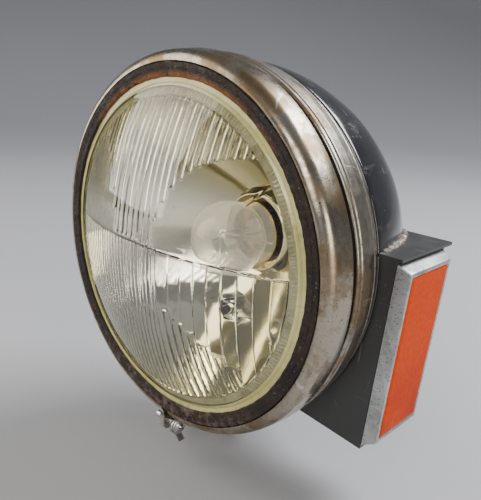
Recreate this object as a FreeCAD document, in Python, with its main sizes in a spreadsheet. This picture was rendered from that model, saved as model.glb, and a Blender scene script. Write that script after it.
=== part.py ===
import FreeCAD, Part
import math
import os
import Sketcher
from FreeCAD import Vector

# Round headlight: a steel bowl with a chrome rim, a domed glass and a side pod that carries an amber
# reflector. The lamp stands on one stud below the bowl.
# Part frame: origin on the flat seat of the swivel foot, on the stud's axis. +Z is up, the glass faces -Y,
# and the pod is on the +X side.
# Lamp frame: origin on the lamp's own axis, in the plane of the glass rim, with the same directions.

doc = FreeCAD.newDocument("Headlight")
sheet = doc.addObject("Spreadsheet::Sheet", "Sheet")

driving = {
    # where the lamp's axis and glass plane are, seen from the stud's seat
    "lamp_height": 107.0,
    "lamp_forward": -56.0,
    "wall": 1.2,
    "foil": 0.8,
    # bowl
    "bowl_radius": 91.4,
    "bowl_front": 9.0,
    "bowl_shoulder": 37.3,
    "bowl_bead": 2.5,
    "bowl_arc": 99.8,
    "bowl_turn": 117.0,
    "bowl_turn_radius": 48.6,
    "bowl_back": 121.0,
    "bowl_back_radius": 36.0,
    "bowl_corner": 22.2,
    # trim rim and chrome band
    "rim_lip": 90.4,
    "rim_lip_front": -1.2,
    "rim_round": 96.2,
    "rim_round_back": 5.2,
    "rim_outer": 97.0,
    "rim_back": 13.6,
    "rim_sheet": 1.0,
    "split_centre": -2.5,
    "split_width": 5.0,
    "ear_length": 106.5,
    "ear_front": 1.5,
    "ear_back": 10.5,
    "band_front": 18.0,
    "band_front_radius": 96.3,
    "band_back": 36.4,
    "band_back_radius": 94.4,
    # glass
    "glass_edge": 89.0,
    "glass_dome": 78.2,
    "dome_top": -21.4,
    "dome_round": 165.06,
    "glass_thick": 3.6,
    "flange_thick": 4.0,
    "seal_inner": 83.2,
    # reflector and bulb
    "focal_length": 25.0,
    "vertex": 69.5,
    "mouth": 80.0,
    "collar_inner": 21.3,
    "collar_back": 71.0,
    "globe_radius": 20.5,
    "globe_centre": 40.0,
    "neck_radius": 17.4,
    "cap_radius": 18.5,
    "base_flange": 22.5,
    "blade_width": 8.0,
    "blade_thick": 0.8,
    "blade_reach": 9.0,
    "blade_circle": 9.0,
    "holder_radius": 26.0,
    "holder_back": 92.0,
    "pilot_drop": 42.0,
    "pilot_tube": 7.2,
    "pilot_glass": 4.4,
    # amber pod
    "pod_front": 38.0,
    "pod_depth": 45.0,
    "pod_top": 14.5,
    "pod_bottom": -82.0,
    "pod_side_top": 101.8,
    "pod_side_bottom": 96.0,
    "pod_sheet": 1.5,
    "pod_lean": 3.44,
    "bezel_length": 93.0,
    "bezel_width": 42.4,
    "bezel_height": 7.0,
    "bezel_top_slope": 2.4,
    "bezel_foot_slope": 4.6,
    "bezel_back_slope": 4.6,
    "window_length": 81.6,
    "window_width": 33.6,
    "amber_gap": 0.3,
    # aiming mount
    "ball_height": 22.0,
    "cup_radius": 16.0,
    "cup_sheet": 1.5,
    "seat_gap": 0.3,
    "stud_radius": 5.0,
    "stud_free": 17.0,
    "stud_fit": 0.05,
    "foot_radius": 17.0,
}
for row, (word, number) in enumerate(driving.items(), start=1):
    sheet.set(f"A{row}", word)
    sheet.set(f"B{row}", str(number))
    sheet.setAlias(f"B{row}", word)
doc.recompute()


class Size:
    """A length, with the sheet formula that it comes from."""

    def __init__(self, number, formula):
        self.number = number
        self.formula = formula

    def joined(self, other, sign, number):
        other = size(other)
        return Size(number(self.number, other.number), f"({self.formula} {sign} {other.formula})")

    def __add__(self, other):
        return self.joined(other, "+", lambda a, b: a + b)

    def __sub__(self, other):
        return self.joined(other, "-", lambda a, b: a - b)

    def __mul__(self, other):
        return self.joined(other, "*", lambda a, b: a * b)

    def __truediv__(self, other):
        return self.joined(other, "/", lambda a, b: a / b)

    def __neg__(self):
        return Size(-self.number, f"(-1 * {self.formula})")

    def __radd__(self, other):
        return size(other) + self

    def __rsub__(self, other):
        return size(other) - self


def size(value):
    return value if isinstance(value, Size) else Size(float(value), repr(float(value)))


def cell(word):
    return Size(float(sheet.get(word)), f"Sheet.{word}")


S = {word: cell(word) for word in driving}


def bind(thing, path, value):
    """Ties one property of an object to the sheet."""
    thing.setExpression(path, size(value).formula)


def sphere_height(radius, ball, centre, side="-"):
    """Where a sphere about a point of the axis is at a radius from it, on its near (-) or far (+) side."""
    reach = math.sqrt(ball.number ** 2 - radius.number ** 2)
    return Size(centre.number - reach if side == "-" else centre.number + reach,
                f"({centre.formula} {side} sqrt(({ball.formula})^2 - ({radius.formula})^2))")


def plane_of(body, role):
    return next(each for each in body.Origin.OriginFeatures if each.Role == role)


def new_body(name):
    body = doc.addObject("PartDesign::Body", name)
    body.Label = name
    return body


def new_sketch(body, name, role):
    sketch = body.newObject("Sketcher::SketchObject", name)
    sketch.AttachmentSupport = [(plane_of(body, role), "")]
    sketch.MapMode = "FlatFace"
    return sketch


def outline(sketch, corners):
    """Draws a closed outline. A corner is (x, y), or (x, y, radius) where an arc leads to the next corner.
    A positive radius has its centre to the left of the direction of travel."""
    points = [(size(corner[0]), size(corner[1])) for corner in corners]
    count = len(points)
    first = sketch.GeometryCount
    for index, corner in enumerate(corners):
        start = Vector(points[index][0].number, points[index][1].number, 0)
        end = Vector(points[(index + 1) % count][0].number, points[(index + 1) % count][1].number, 0)
        if len(corner) == 2:
            sketch.addGeometry(Part.LineSegment(start, end))
            continue
        radius = size(corner[2]).number
        chord = end - start
        left = Vector(-chord.y, chord.x, 0).normalize()
        reach = math.sqrt(radius ** 2 - (chord.Length / 2) ** 2)
        side = 1 if radius > 0 else -1
        centre = (start + end) * 0.5 + left * (side * reach)
        rim_point = centre - left * (side * abs(radius))
        sketch.addGeometry(Part.Arc(start, rim_point, end))
    for index, corner in enumerate(corners):
        here = first + index
        following = first + (index + 1) % count
        start_end, _ = arc_ends(sketch, here, points[index])
        next_start, _ = arc_ends(sketch, following, points[(index + 1) % count])
        last = 2 if start_end == 1 else 1
        sketch.addConstraint(Sketcher.Constraint("Coincident", here, last, following, next_start))
        if len(corner) == 3:
            radius = size(corner[2])
            magnitude = radius if radius.number > 0 else -radius
            number = sketch.addConstraint(Sketcher.Constraint("Radius", here, magnitude.number))
            sketch.setExpression(f"Constraints[{number}]", magnitude.formula)
        for kind, value in (("DistanceX", points[index][0]), ("DistanceY", points[index][1])):
            number = sketch.addConstraint(Sketcher.Constraint(kind, -1, 1, here, start_end, value.number))
            sketch.setExpression(f"Constraints[{number}]", value.formula)


def arc_ends(sketch, number, point):
    """An arc may be stored back to front: this finds which of its ends is the given point."""
    start = sketch.getPoint(number, 1)
    near = abs(start.x - point[0].number) < 1e-4 and abs(start.y - point[1].number) < 1e-4
    return (1, start) if near else (2, start)


def circle(sketch, x, y, radius):
    x, y, radius = size(x), size(y), size(radius)
    centre = Vector(x.number, y.number, 0)
    number = sketch.addGeometry(Part.Circle(centre, Vector(0, 0, 1), radius.number))
    for kind, value in (("DistanceX", x), ("DistanceY", y)):
        constraint = sketch.addConstraint(Sketcher.Constraint(kind, -1, 1, number, 3, value.number))
        sketch.setExpression(f"Constraints[{constraint}]", value.formula)
    constraint = sketch.addConstraint(Sketcher.Constraint("Radius", number, radius.number))
    sketch.setExpression(f"Constraints[{constraint}]", radius.formula)


def turned(name, corners, role="XY_Plane", axis="V_Axis"):
    """A body turned from one outline: (radius, distance along the axis) corners."""
    body = new_body(name)
    sketch = new_sketch(body, name + "_outline", role)
    outline(sketch, corners)
    turning = body.newObject("PartDesign::Revolution", name + "_turned")
    turning.Profile = sketch
    turning.ReferenceAxis = (sketch, [axis])
    turning.Angle = 360
    return body


def raised(body, name, role, draw, start, length, direction=1):
    """Pads a drawing from a plane parallel to one of the body's own planes."""
    sketch = new_sketch(body, name + "_outline", role)
    draw(sketch)
    bind(sketch, "AttachmentOffset.Base.z", start)
    pad = body.newObject("PartDesign::Pad", name)
    pad.Profile = sketch
    bind(pad, "Length", length)
    pad.Reversed = direction < 0
    return pad


def cut_through(body, name, role, draw, start, length, direction=1):
    """Pockets a drawing. direction 1 cuts along the plane's normal, -1 against it."""
    sketch = new_sketch(body, name + "_outline", role)
    draw(sketch)
    bind(sketch, "AttachmentOffset.Base.z", start)
    doc.recompute()
    before = body.Shape.Volume
    pocket = body.newObject("PartDesign::Pocket", name)
    pocket.Profile = sketch
    bind(pocket, "Length", length)
    pocket.Reversed = direction > 0
    doc.recompute()
    if body.Shape.Volume > before - 1e-3:
        raise SystemExit(f"{name} cut nothing")
    return pocket


def rectangle(left, low, right, high):
    return lambda sketch: outline(sketch, [(left, low), (right, low), (right, high), (left, high)])


def disc(x, y, radius):
    return lambda sketch: circle(sketch, x, y, radius)


nodes = []


def keep(thing, name, x=0, y=0, z=0):
    """Names a finished piece and puts it in the part frame; x, y, z are in the lamp frame."""
    thing.Label = name
    bind(thing, "Placement.Base.x", x)
    bind(thing, "Placement.Base.y", S["lamp_forward"] + y)
    bind(thing, "Placement.Base.z", S["lamp_height"] + z)
    nodes.append((name, thing))


def keep_on_seat(thing, name):
    """Names a finished piece that is drawn in the part frame."""
    thing.Label = name
    nodes.append((name, thing))

# ---- bowl: a pressed shell, open at the front, with a raised shoulder behind the chrome band
def bowl_outline(offset, closed=False):
    """The bowl's outer face moved inward by offset, from its front edge to the lamp's axis."""
    return [
        (S["bowl_radius"] - offset, S["bowl_front"]),
        (S["bowl_radius"] - offset, S["bowl_shoulder"] + 4, S["bowl_arc"] - offset),
        (S["bowl_turn_radius"] - offset * 0.6, S["bowl_turn"] - offset * 0.85, S["bowl_corner"] - offset),
        (S["bowl_back_radius"], S["bowl_back"] - offset),
        (0, S["bowl_back"] - offset),
    ]


def make_bowl():
    wall = S["wall"]
    outside = bowl_outline(size(0))
    shoulder = [
        (S["bowl_radius"], S["bowl_shoulder"]),
        (S["bowl_radius"] + S["bowl_bead"], S["bowl_shoulder"] + 0.4),
        (S["bowl_radius"] + S["bowl_bead"], S["bowl_shoulder"] + 1.9),
    ]
    inside = bowl_outline(wall)
    back_face = inside[::-1]
    inner_path = [
        back_face[0],
        (back_face[1][0], back_face[1][1], -(S["bowl_corner"] - wall)),
        (back_face[2][0], back_face[2][1], -(S["bowl_arc"] - wall)),
        (back_face[3][0], back_face[3][1]),
        back_face[4],
    ]
    body = turned("headlamp_bowl", [outside[0]] + shoulder + outside[1:] + inner_path)
    seat_y = -S["lamp_forward"]
    cut_through(body, "cup_hole", "XY_Plane", disc(0, seat_y, S["cup_radius"] + 0.3), 0, 110, -1)
    cut_through(body, "cable_hole", "XZ_Plane", disc(-16, -20, 7), 0, 130, -1)
    keep(body, "headlamp_bowl")


def make_band():
    """Second chrome ring round the bowl: a turned-in front, a bead, a tapering face and a turned-in back."""
    sheet_thick = S["rim_sheet"]
    inner = S["bowl_radius"] + 0.2
    front, back = S["band_front"], S["band_back"]
    outer, rear = S["band_front_radius"], S["band_back_radius"]
    body = turned("chrome_band", [
        (inner, front),
        (outer - 1.3, front, 1.3),
        (outer, front + 1.3),
        (rear, back - 1.2, 1.2),
        (rear - 1.2, back),
        (inner, back),
        (inner, back - sheet_thick),
        (rear - 1.25, back - sheet_thick),
        (outer - sheet_thick - 0.1, front + 1.4),
        (outer - 1.5, front + sheet_thick),
        (inner, front + sheet_thick),
    ])
    keep(body, "chrome_band")


def make_band_seal():
    """Rubber strip that closes the gap between the rim's skirt and the band."""
    inner = S["bowl_radius"] + 0.1
    body = turned("band_seal", [
        (inner, S["rim_back"] + 0.4),
        (inner + 1.2, S["rim_back"] + 0.4, 2.6),
        (inner + 1.2, S["band_front"] - 0.1),
        (inner, S["band_front"] - 0.1),
    ])
    keep(body, "band_seal")


# ---- trim rim: a rolled ring, split below, with two ears that the clamp screw draws together
def make_rim():
    thick = S["rim_sheet"]
    lip, front = S["rim_lip"], S["rim_lip_front"]
    crown, crown_back = S["rim_round"], S["rim_round_back"]
    body = turned("trim_rim", [
        (lip, front, 7.05),
        (crown, crown_back),
        (S["rim_outer"], S["rim_back"]),
        (S["rim_outer"] - thick, S["rim_back"]),
        (crown - thick, crown_back + 0.2, -6.0),
        (lip + 0.2, front + thick),
    ])
    left = S["split_centre"] - S["split_width"] / 2
    right = S["split_centre"] + S["split_width"] / 2
    cut_through(body, "split", "XY_Plane", rectangle(left, -5, right, 20), -80, 30, -1)
    for name, near, side in (("left_ear", left, -1), ("right_ear", right, 1)):
        draw = ear_drawing()
        raised(body, name, "YZ_Plane", draw, near, 1.3, side)
    cut_through(body, "screw_hole", "YZ_Plane", disc(5.5, -101.8, 2.5), -20, 40, 1)
    keep(body, "trim_rim")


def ear_drawing():
    front, back, low = S["ear_front"], S["ear_back"], -S["ear_length"]
    return lambda sketch: outline(sketch, [
        (front, -94.6),
        (front, low + 3, 3),
        (front + 3, low),
        (back - 3, low, 3),
        (back, low + 3),
        (back, -95.4),
    ])


def make_clamp():
    """Screw, tab washer and square nut. The axis is X; the outlines are (x, radius) corners."""
    far_side = S["split_centre"] + S["split_width"] / 2 + 1.35
    near_side = S["split_centre"] - S["split_width"] / 2 - 1.35
    screw = turned("clamp_screw", [
        (near_side - 9, 0),
        (near_side - 9, 1.5),
        (near_side - 8.5, 2),
        (far_side + 0.9, 2),
        (far_side + 0.9, 4.3),
        (far_side + 1.9, 4.3, 3.4),
        (far_side + 4.4, 1.2),
        (far_side + 4.4, 0),
    ], axis="H_Axis")
    cut_through(screw, "slot", "XY_Plane", rectangle(far_side + 3, -5, far_side + 5, 5), -0.55, 1.1, 1)
    keep(screw, "clamp_screw", y=5.5, z=-101.8)

    washer = new_body("tab_washer")
    raised(washer, "disc", "YZ_Plane", disc(0, 0, 5), far_side + 0.05, 0.8)
    raised(washer, "tab", "XZ_Plane", lambda sketch: outline(sketch, [
        (far_side + 0.05, -4.6),
        (far_side + 3.6, -8.2),
        (far_side + 4.2, -7.6),
        (far_side + 0.85, -4.5),
    ]), -2, 4)
    cut_through(washer, "hole", "YZ_Plane", disc(0, 0, 2.1), far_side - 1, 6)
    keep(washer, "tab_washer", y=5.5, z=-101.8)

    nut = new_body("clamp_nut")
    raised(nut, "block", "YZ_Plane", rectangle(-3.5, -3.5, 3.5, 3.5), near_side - 3.2, 3.2)
    cut_through(nut, "thread", "YZ_Plane", disc(0, 0, 2.05), near_side - 5, 8)
    keep(nut, "clamp_nut", y=5.5, z=-101.8)


# ---- glass, seals and reflector
def make_glass():
    edge, dome = S["glass_edge"], S["glass_dome"]
    thick, flange = S["glass_thick"], S["flange_thick"]
    ball = S["dome_round"]
    centre = S["dome_top"] + ball
    body = turned("headlamp_lens", [
        (0, S["dome_top"], ball),
        (dome, sphere_height(dome, ball, centre)),
        (dome + 2.6, -0.7),
        (dome + 2.8, 0),
        (edge, 0),
        (edge, flange),
        (dome + 1.4, flange),
        (dome, sphere_height(dome, ball - thick, centre), -(ball - thick)),
        (0, S["dome_top"] + thick),
    ])
    keep(body, "headlamp_lens")


def make_seals():
    inner, outer = S["seal_inner"], S["rim_lip"] - 0.2
    face = turned("front_seal", [
        (inner, -0.15),
        (outer, -0.15),
        (outer, -0.75),
        (inner + 1.4, -1.15, 1.1),
    ])
    keep(face, "front_seal")
    flange = S["flange_thick"]
    gasket = turned("lens_gasket", [
        (S["mouth"] + 1, flange + 0.05),
        (S["glass_edge"], flange + 0.05),
        (S["glass_edge"], flange + 1),
        (S["mouth"] + 1, flange + 1),
    ])
    keep(gasket, "lens_gasket")


def parabola_depth(radius, shift=0.0):
    """Distance along the axis of the reflector's face at a radius."""
    return S["vertex"].number + shift - radius ** 2 / (4 * S["focal_length"].number)


def parabola_edge(from_radius, to_radius, shift):
    """Edge of the parabola y = vertex + shift - r^2 / 4f in the XY plane, between two radii."""
    focal = S["focal_length"].number
    curve = Part.Parabola(Vector(0, S["vertex"].number - focal + shift, 0),
                          Vector(0, S["vertex"].number + shift, 0), Vector(0, 0, 1))
    ends = sorted(curve.parameter(Vector(radius, parabola_depth(radius, shift), 0))
                  for radius in (from_radius, to_radius))
    return curve.toBSpline(ends[0], ends[1]).toShape()


def make_reflector():
    """Pressed paraboloid with a flat flange, a bulb hole on the axis and a pilot hole below it."""
    hole, mouth, edge = S["collar_inner"].number + 1, S["mouth"].number, S["glass_edge"].number
    shift = S["wall"].number
    flange_front = S["flange_thick"].number + 1.05
    flange_back = flange_front + S["foil"].number

    def corner(radius, y):
        return Vector(radius, y, 0)

    meeting = math.sqrt(4 * S["focal_length"].number * (S["vertex"].number + shift - flange_back))
    face = parabola_edge(hole, mouth, 0)
    back = parabola_edge(hole, meeting, shift)
    path = [
        corner(mouth, parabola_depth(mouth)), corner(mouth + 0.2, flange_front), corner(edge, flange_front),
        corner(edge, flange_back), corner(meeting, flange_back),
    ]
    lines = [Part.makeLine(a, b) for a, b in zip(path, path[1:])]
    lines.append(Part.makeLine(corner(hole, parabola_depth(hole)), corner(hole, parabola_depth(hole, shift))))
    wire = Part.Wire(Part.__sortEdges__([face, back] + lines))
    shell = Part.Face(wire).revolve(Vector(0, 0, 0), Vector(0, 1, 0), 360)
    pilot = Part.makeCylinder(S["pilot_tube"].number + 0.15, 60,
                              Vector(0, 20, -S["pilot_drop"].number), Vector(0, 1, 0))
    reflector = doc.addObject("Part::Feature", "reflector")
    reflector.Shape = shell.cut(pilot).Solids[0]
    keep(reflector, "reflector")


def make_collar():
    """Bulb seat behind the reflector: a tube for the bulb, a flange and a skirt that meets the reflector."""
    inner, back = S["collar_inner"], S["collar_back"]
    foil = S["foil"]
    body = turned("reflector_collar", [
        (inner, 60.5),
        (inner + foil, 60.5),
        (inner + foil, back),
        (inner + 8.7, back),
        (inner + 8.7, 62.4),
        (inner + 9.6, 62.0),
        (inner + 9.6, back + 1.2),
        (inner, back + 1.2),
    ])
    keep(body, "reflector_collar")


def make_clips():
    """Six spring clips behind the reflector's flange. Each has a plate on the flange and a turned-up end."""
    plate = Part.makeBox(10, S["foil"].number, 10.5, Vector(-5, S["flange_thick"].number + 1.9, 83.6))
    turned_end = Part.makeBox(10, 6, S["foil"].number, Vector(-5, S["flange_thick"].number + 2.2, 93.3))
    clip = plate.fuse(turned_end).removeSplitter()
    ring = [clip.rotated(Vector(0, 0, 0), Vector(0, 1, 0), 30 + 60 * step) for step in range(6)]
    clips = doc.addObject("Part::Feature", "rim_clips")
    clips.Shape = Part.makeCompound(ring)
    keep(clips, "rim_clips")


# ---- main bulb: globe, cap with a locating flange, insulator with three blades, and what the globe holds
def make_bulb():
    ball, centre, neck = S["globe_radius"], S["globe_centre"], S["neck_radius"]
    glass = S["foil"]
    globe = turned("bulb_globe", [
        (0, centre - ball, ball),
        (neck, sphere_height(neck, ball, centre, "+")),
        (neck, 61),
        (neck - glass, 61),
        (neck - glass, sphere_height(neck - glass, ball - glass, centre, "+"), -(ball - glass)),
        (0, centre - ball + glass),
    ])
    keep(globe, "bulb_globe")

    back = S["collar_back"] + 1.25
    cap = turned("bulb_cap", [
        (neck + 0.1, 58.2),
        (S["cap_radius"], 58.2),
        (S["cap_radius"], back),
        (S["base_flange"], back),
        (S["base_flange"], back + 1.2),
        (neck - 4, back + 1.2),
        (neck - 4, back + 0.2),
        (neck + 0.1, back + 0.2),
    ])
    keep(cap, "bulb_cap")

    insulator = turned("bulb_insulator", [(0, back - 3), (neck - 4.1, back - 3), (neck - 4.1, back + 4.5),
                                          (0, back + 4.5)])
    keep(insulator, "bulb_insulator")

    half_width, half_thick = S["blade_width"] / 2, S["blade_thick"] / 2
    start = back + 4.55
    blades = []
    for name, angle in (("bulb_blade_left", 180), ("bulb_blade_top", 90), ("bulb_blade_right", 0)):
        body = new_body(name)
        circle_x = S["blade_circle"] * math.cos(math.radians(angle))
        circle_z = S["blade_circle"] * math.sin(math.radians(angle))
        upright = angle != 90
        across = half_thick if upright else half_width
        along = half_width if upright else half_thick
        raised(body, name + "_pad", "XZ_Plane",
               rectangle(circle_x - across, circle_z - along, circle_x + across, circle_z + along),
               -start, S["blade_reach"], -1)
        keep(body, name)
        blades.append(body)

    focus = S["vertex"] - S["focal_length"]
    for name, y, z in (("main_filament", focus, 0.0), ("dip_filament", focus - 6.5, 1.5)):
        coil = turned(name, [(-3, 0), (-3, 0.75), (3, 0.75), (3, 0)], axis="H_Axis")
        keep(coil, name, y=y, z=z)

    supports = doc.addObject("Part::MultiFuse", "filament_supports")
    rods = []
    for number, (x, z, tip) in enumerate(((-3.6, 0, focus.number), (3.6, 0, focus.number),
                                          (-5.2, 1.5, focus.number - 6.5), (5.2, 1.5, focus.number - 6.5))):
        rod = doc.addObject("Part::Cylinder", f"support_rod_{number}")
        rod.Radius = 0.5
        rod.Height = back.number - 3.1 - tip + 1
        rod.Placement = FreeCAD.Placement(Vector(x, tip - 1, z), FreeCAD.Rotation(Vector(1, 0, 0), -90))
        rods.append(rod)
    bead = doc.addObject("Part::Cylinder", "support_bead")
    bead.Radius = 7.5
    bead.Height = 4
    bead.Placement = FreeCAD.Placement(Vector(0, 61, 0), FreeCAD.Rotation(Vector(1, 0, 0), -90))
    supports.Shapes = rods + [bead]
    keep(supports, "filament_supports")

    shield = turned("dip_shield", [(6.6, focus - 11), (7.1, focus - 11), (7.1, focus - 2.5), (6.6, focus - 2.5)])
    cut_through(shield, "open_top", "XY_Plane", rectangle(-8, 20, 8, 60), -1.2, 12, 1)
    keep(shield, "dip_shield")


# ---- bulb holder: a moulded cap over the bulb's base, with three contacts and their tags
def make_holder():
    back, outer = S["holder_back"], S["holder_radius"]
    front = S["collar_back"] + 3.2
    body = turned("bulb_holder", [
        (0, 83),
        (15.5, 83),
        (15.5, 79),
        (outer - 2.4, 79),
        (outer - 2.4, front),
        (outer, front),
        (outer, 86),
        (outer - 6, back),
        (0, back),
    ])
    for step, angle in enumerate((180, 90, 0)):
        x = S["blade_circle"] * math.cos(math.radians(angle))
        z = S["blade_circle"] * math.sin(math.radians(angle))
        wide, thin = (1.9, 5.4) if angle != 90 else (5.4, 1.9)
        cut_through(body, f"contact_slot_{step}", "XZ_Plane",
                    rectangle(x - wide, z - thin, x + wide, z + thin), -75, 30, -1)
    keep(body, "bulb_holder")

    for name, angle in (("holder_contact_left", 180), ("holder_contact_top", 90), ("holder_contact_right", 0)):
        contact = new_body(name)
        x = S["blade_circle"] * math.cos(math.radians(angle))
        z = S["blade_circle"] * math.sin(math.radians(angle))
        wide, thin = (1.7, 5.2) if angle != 90 else (5.2, 1.7)
        inner_wide, inner_thin = (0.8, 4.4) if angle != 90 else (4.4, 0.8)
        raised(contact, name + "_block", "XZ_Plane",
               rectangle(x - wide, z - thin, x + wide, z + thin), -83.2, 8.4, -1)
        cut_through(contact, name + "_slot", "XZ_Plane",
                    rectangle(x - inner_wide, z - inner_thin, x + inner_wide, z + inner_thin), -80, 9, -1)
        tag_wide, tag_thin = (0.4, 3.2) if angle != 90 else (3.2, 0.4)
        raised(contact, name + "_tag", "XZ_Plane",
               rectangle(x - tag_wide, z - tag_thin, x + tag_wide, z + tag_thin), -91.5, 6.5, -1)
        keep(contact, name)

    spring = turned("holder_spring", [
        (outer - 2.7, 73.9),
        (outer - 3.3, 73.9),
        (outer - 3.3, 78.6),
        (outer - 9.4, 78.6),
        (outer - 9.4, 78.0),
        (outer - 3.9, 78.0),
        (outer - 3.9, 73.7),
        (outer - 2.7, 73.7),
    ])
    keep(spring, "holder_spring")


# ---- pilot lamp: a sleeve in the reflector, a push-in holder and a small bayonet bulb
def make_pilot():
    drop, tube, glass = -S["pilot_drop"], S["pilot_tube"], S["pilot_glass"]
    sleeve = turned("pilot_sleeve", [
        (tube - 0.6, 48),
        (tube, 48),
        (tube, 60),
        (tube + 2.2, 60),
        (tube + 2.2, 60.8),
        (tube - 0.6, 60.8),
    ])
    keep(sleeve, "pilot_sleeve", z=drop)
    holder = turned("pilot_holder", [
        (glass + 0.55, 52),
        (tube - 0.9, 52),
        (tube - 0.9, 61.1),
        (tube + 1.8, 61.1),
        (tube + 1.8, 62.5),
        (tube - 0.9, 62.5),
        (tube - 0.9, 71),
        (glass + 0.55, 71),
    ])
    keep(holder, "pilot_holder", z=drop)
    bulb = turned("pilot_bulb", [
        (0, 40.5),
        (1.5, 40.6),
        (glass, 43.6),
        (glass, 51.5),
        (glass + 0.1, 52),
        (glass + 0.1, 64),
        (3, 66.5),
        (0, 66.5),
    ])
    keep(bulb, "pilot_bulb", z=drop)
    contact = turned("pilot_contact", [(0, 67.4), (3.8, 67.4), (3.8, 69), (1.2, 69), (1.2, 75), (0, 75)])
    keep(contact, "pilot_contact", z=drop)
    insulator = turned("pilot_insulator", [(1.3, 69.1), (4.85, 69.1), (4.85, 70.9), (1.3, 70.9)])
    keep(insulator, "pilot_insulator", z=drop)


def make_grommet():
    """Rubber cable inlet in the back of the bowl, grooved round the edge of its hole."""
    inner_face = S["bowl_back"] - S["wall"]
    body = turned("cable_grommet", [
        (4, inner_face - 2),
        (9.2, inner_face - 2),
        (9.2, inner_face - 0.1),
        (6.9, inner_face - 0.1),
        (6.9, S["bowl_back"] + 0.1),
        (9.2, S["bowl_back"] + 0.1),
        (9.2, S["bowl_back"] + 1.8),
        (6.5, S["bowl_back"] + 3.6),
        (4, S["bowl_back"] + 3.6),
    ])
    keep(body, "cable_grommet", x=-16, z=-20)


# ---- side pod: a folded sheet box welded to the bowl, its outer wall leaning in towards its foot
def envelope(name, offset):
    """Solid that fills the bowl, grown by offset. Used to trim what meets the bowl."""
    radius, bead = S["bowl_radius"] + offset, S["bowl_bead"] + S["bowl_radius"] + offset
    shoulder = [
        (radius, S["bowl_shoulder"] - offset),
        (bead, S["bowl_shoulder"] + 0.4 - offset),
        (bead, S["bowl_shoulder"] + 1.9 + offset),
    ]
    return turned(name, [(0, S["bowl_front"] - 30), (radius, S["bowl_front"] - 30)]
                  + (shoulder if offset > 0 else []) + bowl_outline(-size(offset))[1:])


def pod_section(inset):
    """The pod's section in the XZ plane, moved inward by inset on its outer, upper and lower sides."""
    top, bottom = S["pod_top"] - inset, S["pod_bottom"] + inset
    return [
        (40, S["pod_bottom"] + 5.6 + inset),
        (S["pod_side_bottom"] - inset, bottom),
        (S["pod_side_top"] - inset, top),
        (60, top),
    ]


def make_pod():
    front, depth, thick = S["pod_front"], S["pod_depth"], S["pod_sheet"]
    box = new_body("pod_box")
    raised(box, "walls", "XZ_Plane", lambda sketch: outline(sketch, pod_section(size(0))), -front, depth, -1)
    cut_through(box, "hollow", "XZ_Plane", lambda sketch: outline(sketch, pod_section(thick)),
                -(front + thick), depth - thick * 2, -1)
    lid = doc.addObject("Part::Box", "pod_lid")
    bind(lid, "Length", S["pod_side_top"] - 60 + 2.6)
    bind(lid, "Width", depth + 2.4)
    bind(lid, "Height", thick)
    bind(lid, "Placement.Base.x", 60)
    bind(lid, "Placement.Base.y", front - 0.6)
    bind(lid, "Placement.Base.z", S["pod_top"] - 0.3)
    folded = doc.addObject("Part::Fuse", "pod_folded")
    folded.Base = box
    folded.Tool = lid
    pod = doc.addObject("Part::Cut", "pod_shell")
    pod.Base = folded
    pod.Tool = envelope("bowl_clearance", 0.15)
    stud_holes = doc.addObject("Part::MultiFuse", "stud_holes")
    stud_holes.Shapes = [on_panel(peg(f"stud_hole_{number}", 2.3, 12), along, across, -8)
                         for number, (along, across) in enumerate(bezel_studs)]
    drilled = doc.addObject("Part::Cut", "pod_drilled")
    drilled.Base = pod
    drilled.Tool = stud_holes
    keep(drilled, "pod_shell")

    ring = turned("weld_ring", [
        (S["bowl_radius"] - 40, front),
        (S["bowl_radius"] + 2.3, front),
        (S["bowl_radius"] + 2.3, S["bowl_shoulder"] + 4, S["bowl_arc"] + 2.3),
        (S["bowl_turn_radius"] + 2, S["bowl_turn"] + 2),
        (0, S["bowl_turn"] + 2),
        (0, front),
    ])
    bare = doc.addObject("Part::Cut", "weld_shell")
    bare.Base = ring
    bare.Tool = envelope("weld_clearance", 0.05)
    slab = doc.addObject("Part::Box", "weld_slab")
    bind(slab, "Length", 60)
    bind(slab, "Width", depth)
    bind(slab, "Height", 1.6)
    bind(slab, "Placement.Base.x", 60)
    bind(slab, "Placement.Base.y", front + 4)
    bind(slab, "Placement.Base.z", S["pod_top"] + thick - 0.25)
    weld = doc.addObject("Part::Common", "pod_weld")
    weld.Base = bare
    weld.Tool = slab
    keep(weld, "pod_weld")


bezel_studs = ((16.0, 20.0), (77.0, 20.0))


def peg(name, radius, height):
    thing = doc.addObject("Part::Cylinder", name)
    bind(thing, "Radius", radius)
    bind(thing, "Height", height)
    return thing


def on_panel(thing, along, across, out):
    """Places a piece on the pod's outer wall: along runs down it, across runs back, out leaves it."""
    lean = math.radians(S["pod_lean"].number)
    x = S["pod_side_top"].number + 0.2 + out * math.cos(lean) - along * math.sin(lean)
    z = S["pod_top"].number - 1.6 - out * math.sin(lean) - along * math.cos(lean)
    thing.Placement = FreeCAD.Placement(Vector(x, S["pod_front"].number + 0.2 + across, z),
                                        FreeCAD.Rotation(Vector(0, 1, 0), 90 + S["pod_lean"].number))
    return thing


def keep_on_panel(thing, name, along=0.0, across=0.0, out=0.0):
    on_panel(thing, along, across, out)
    base = thing.Placement.Base
    keep(thing, name, x=base.x, y=base.y, z=base.z)


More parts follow.
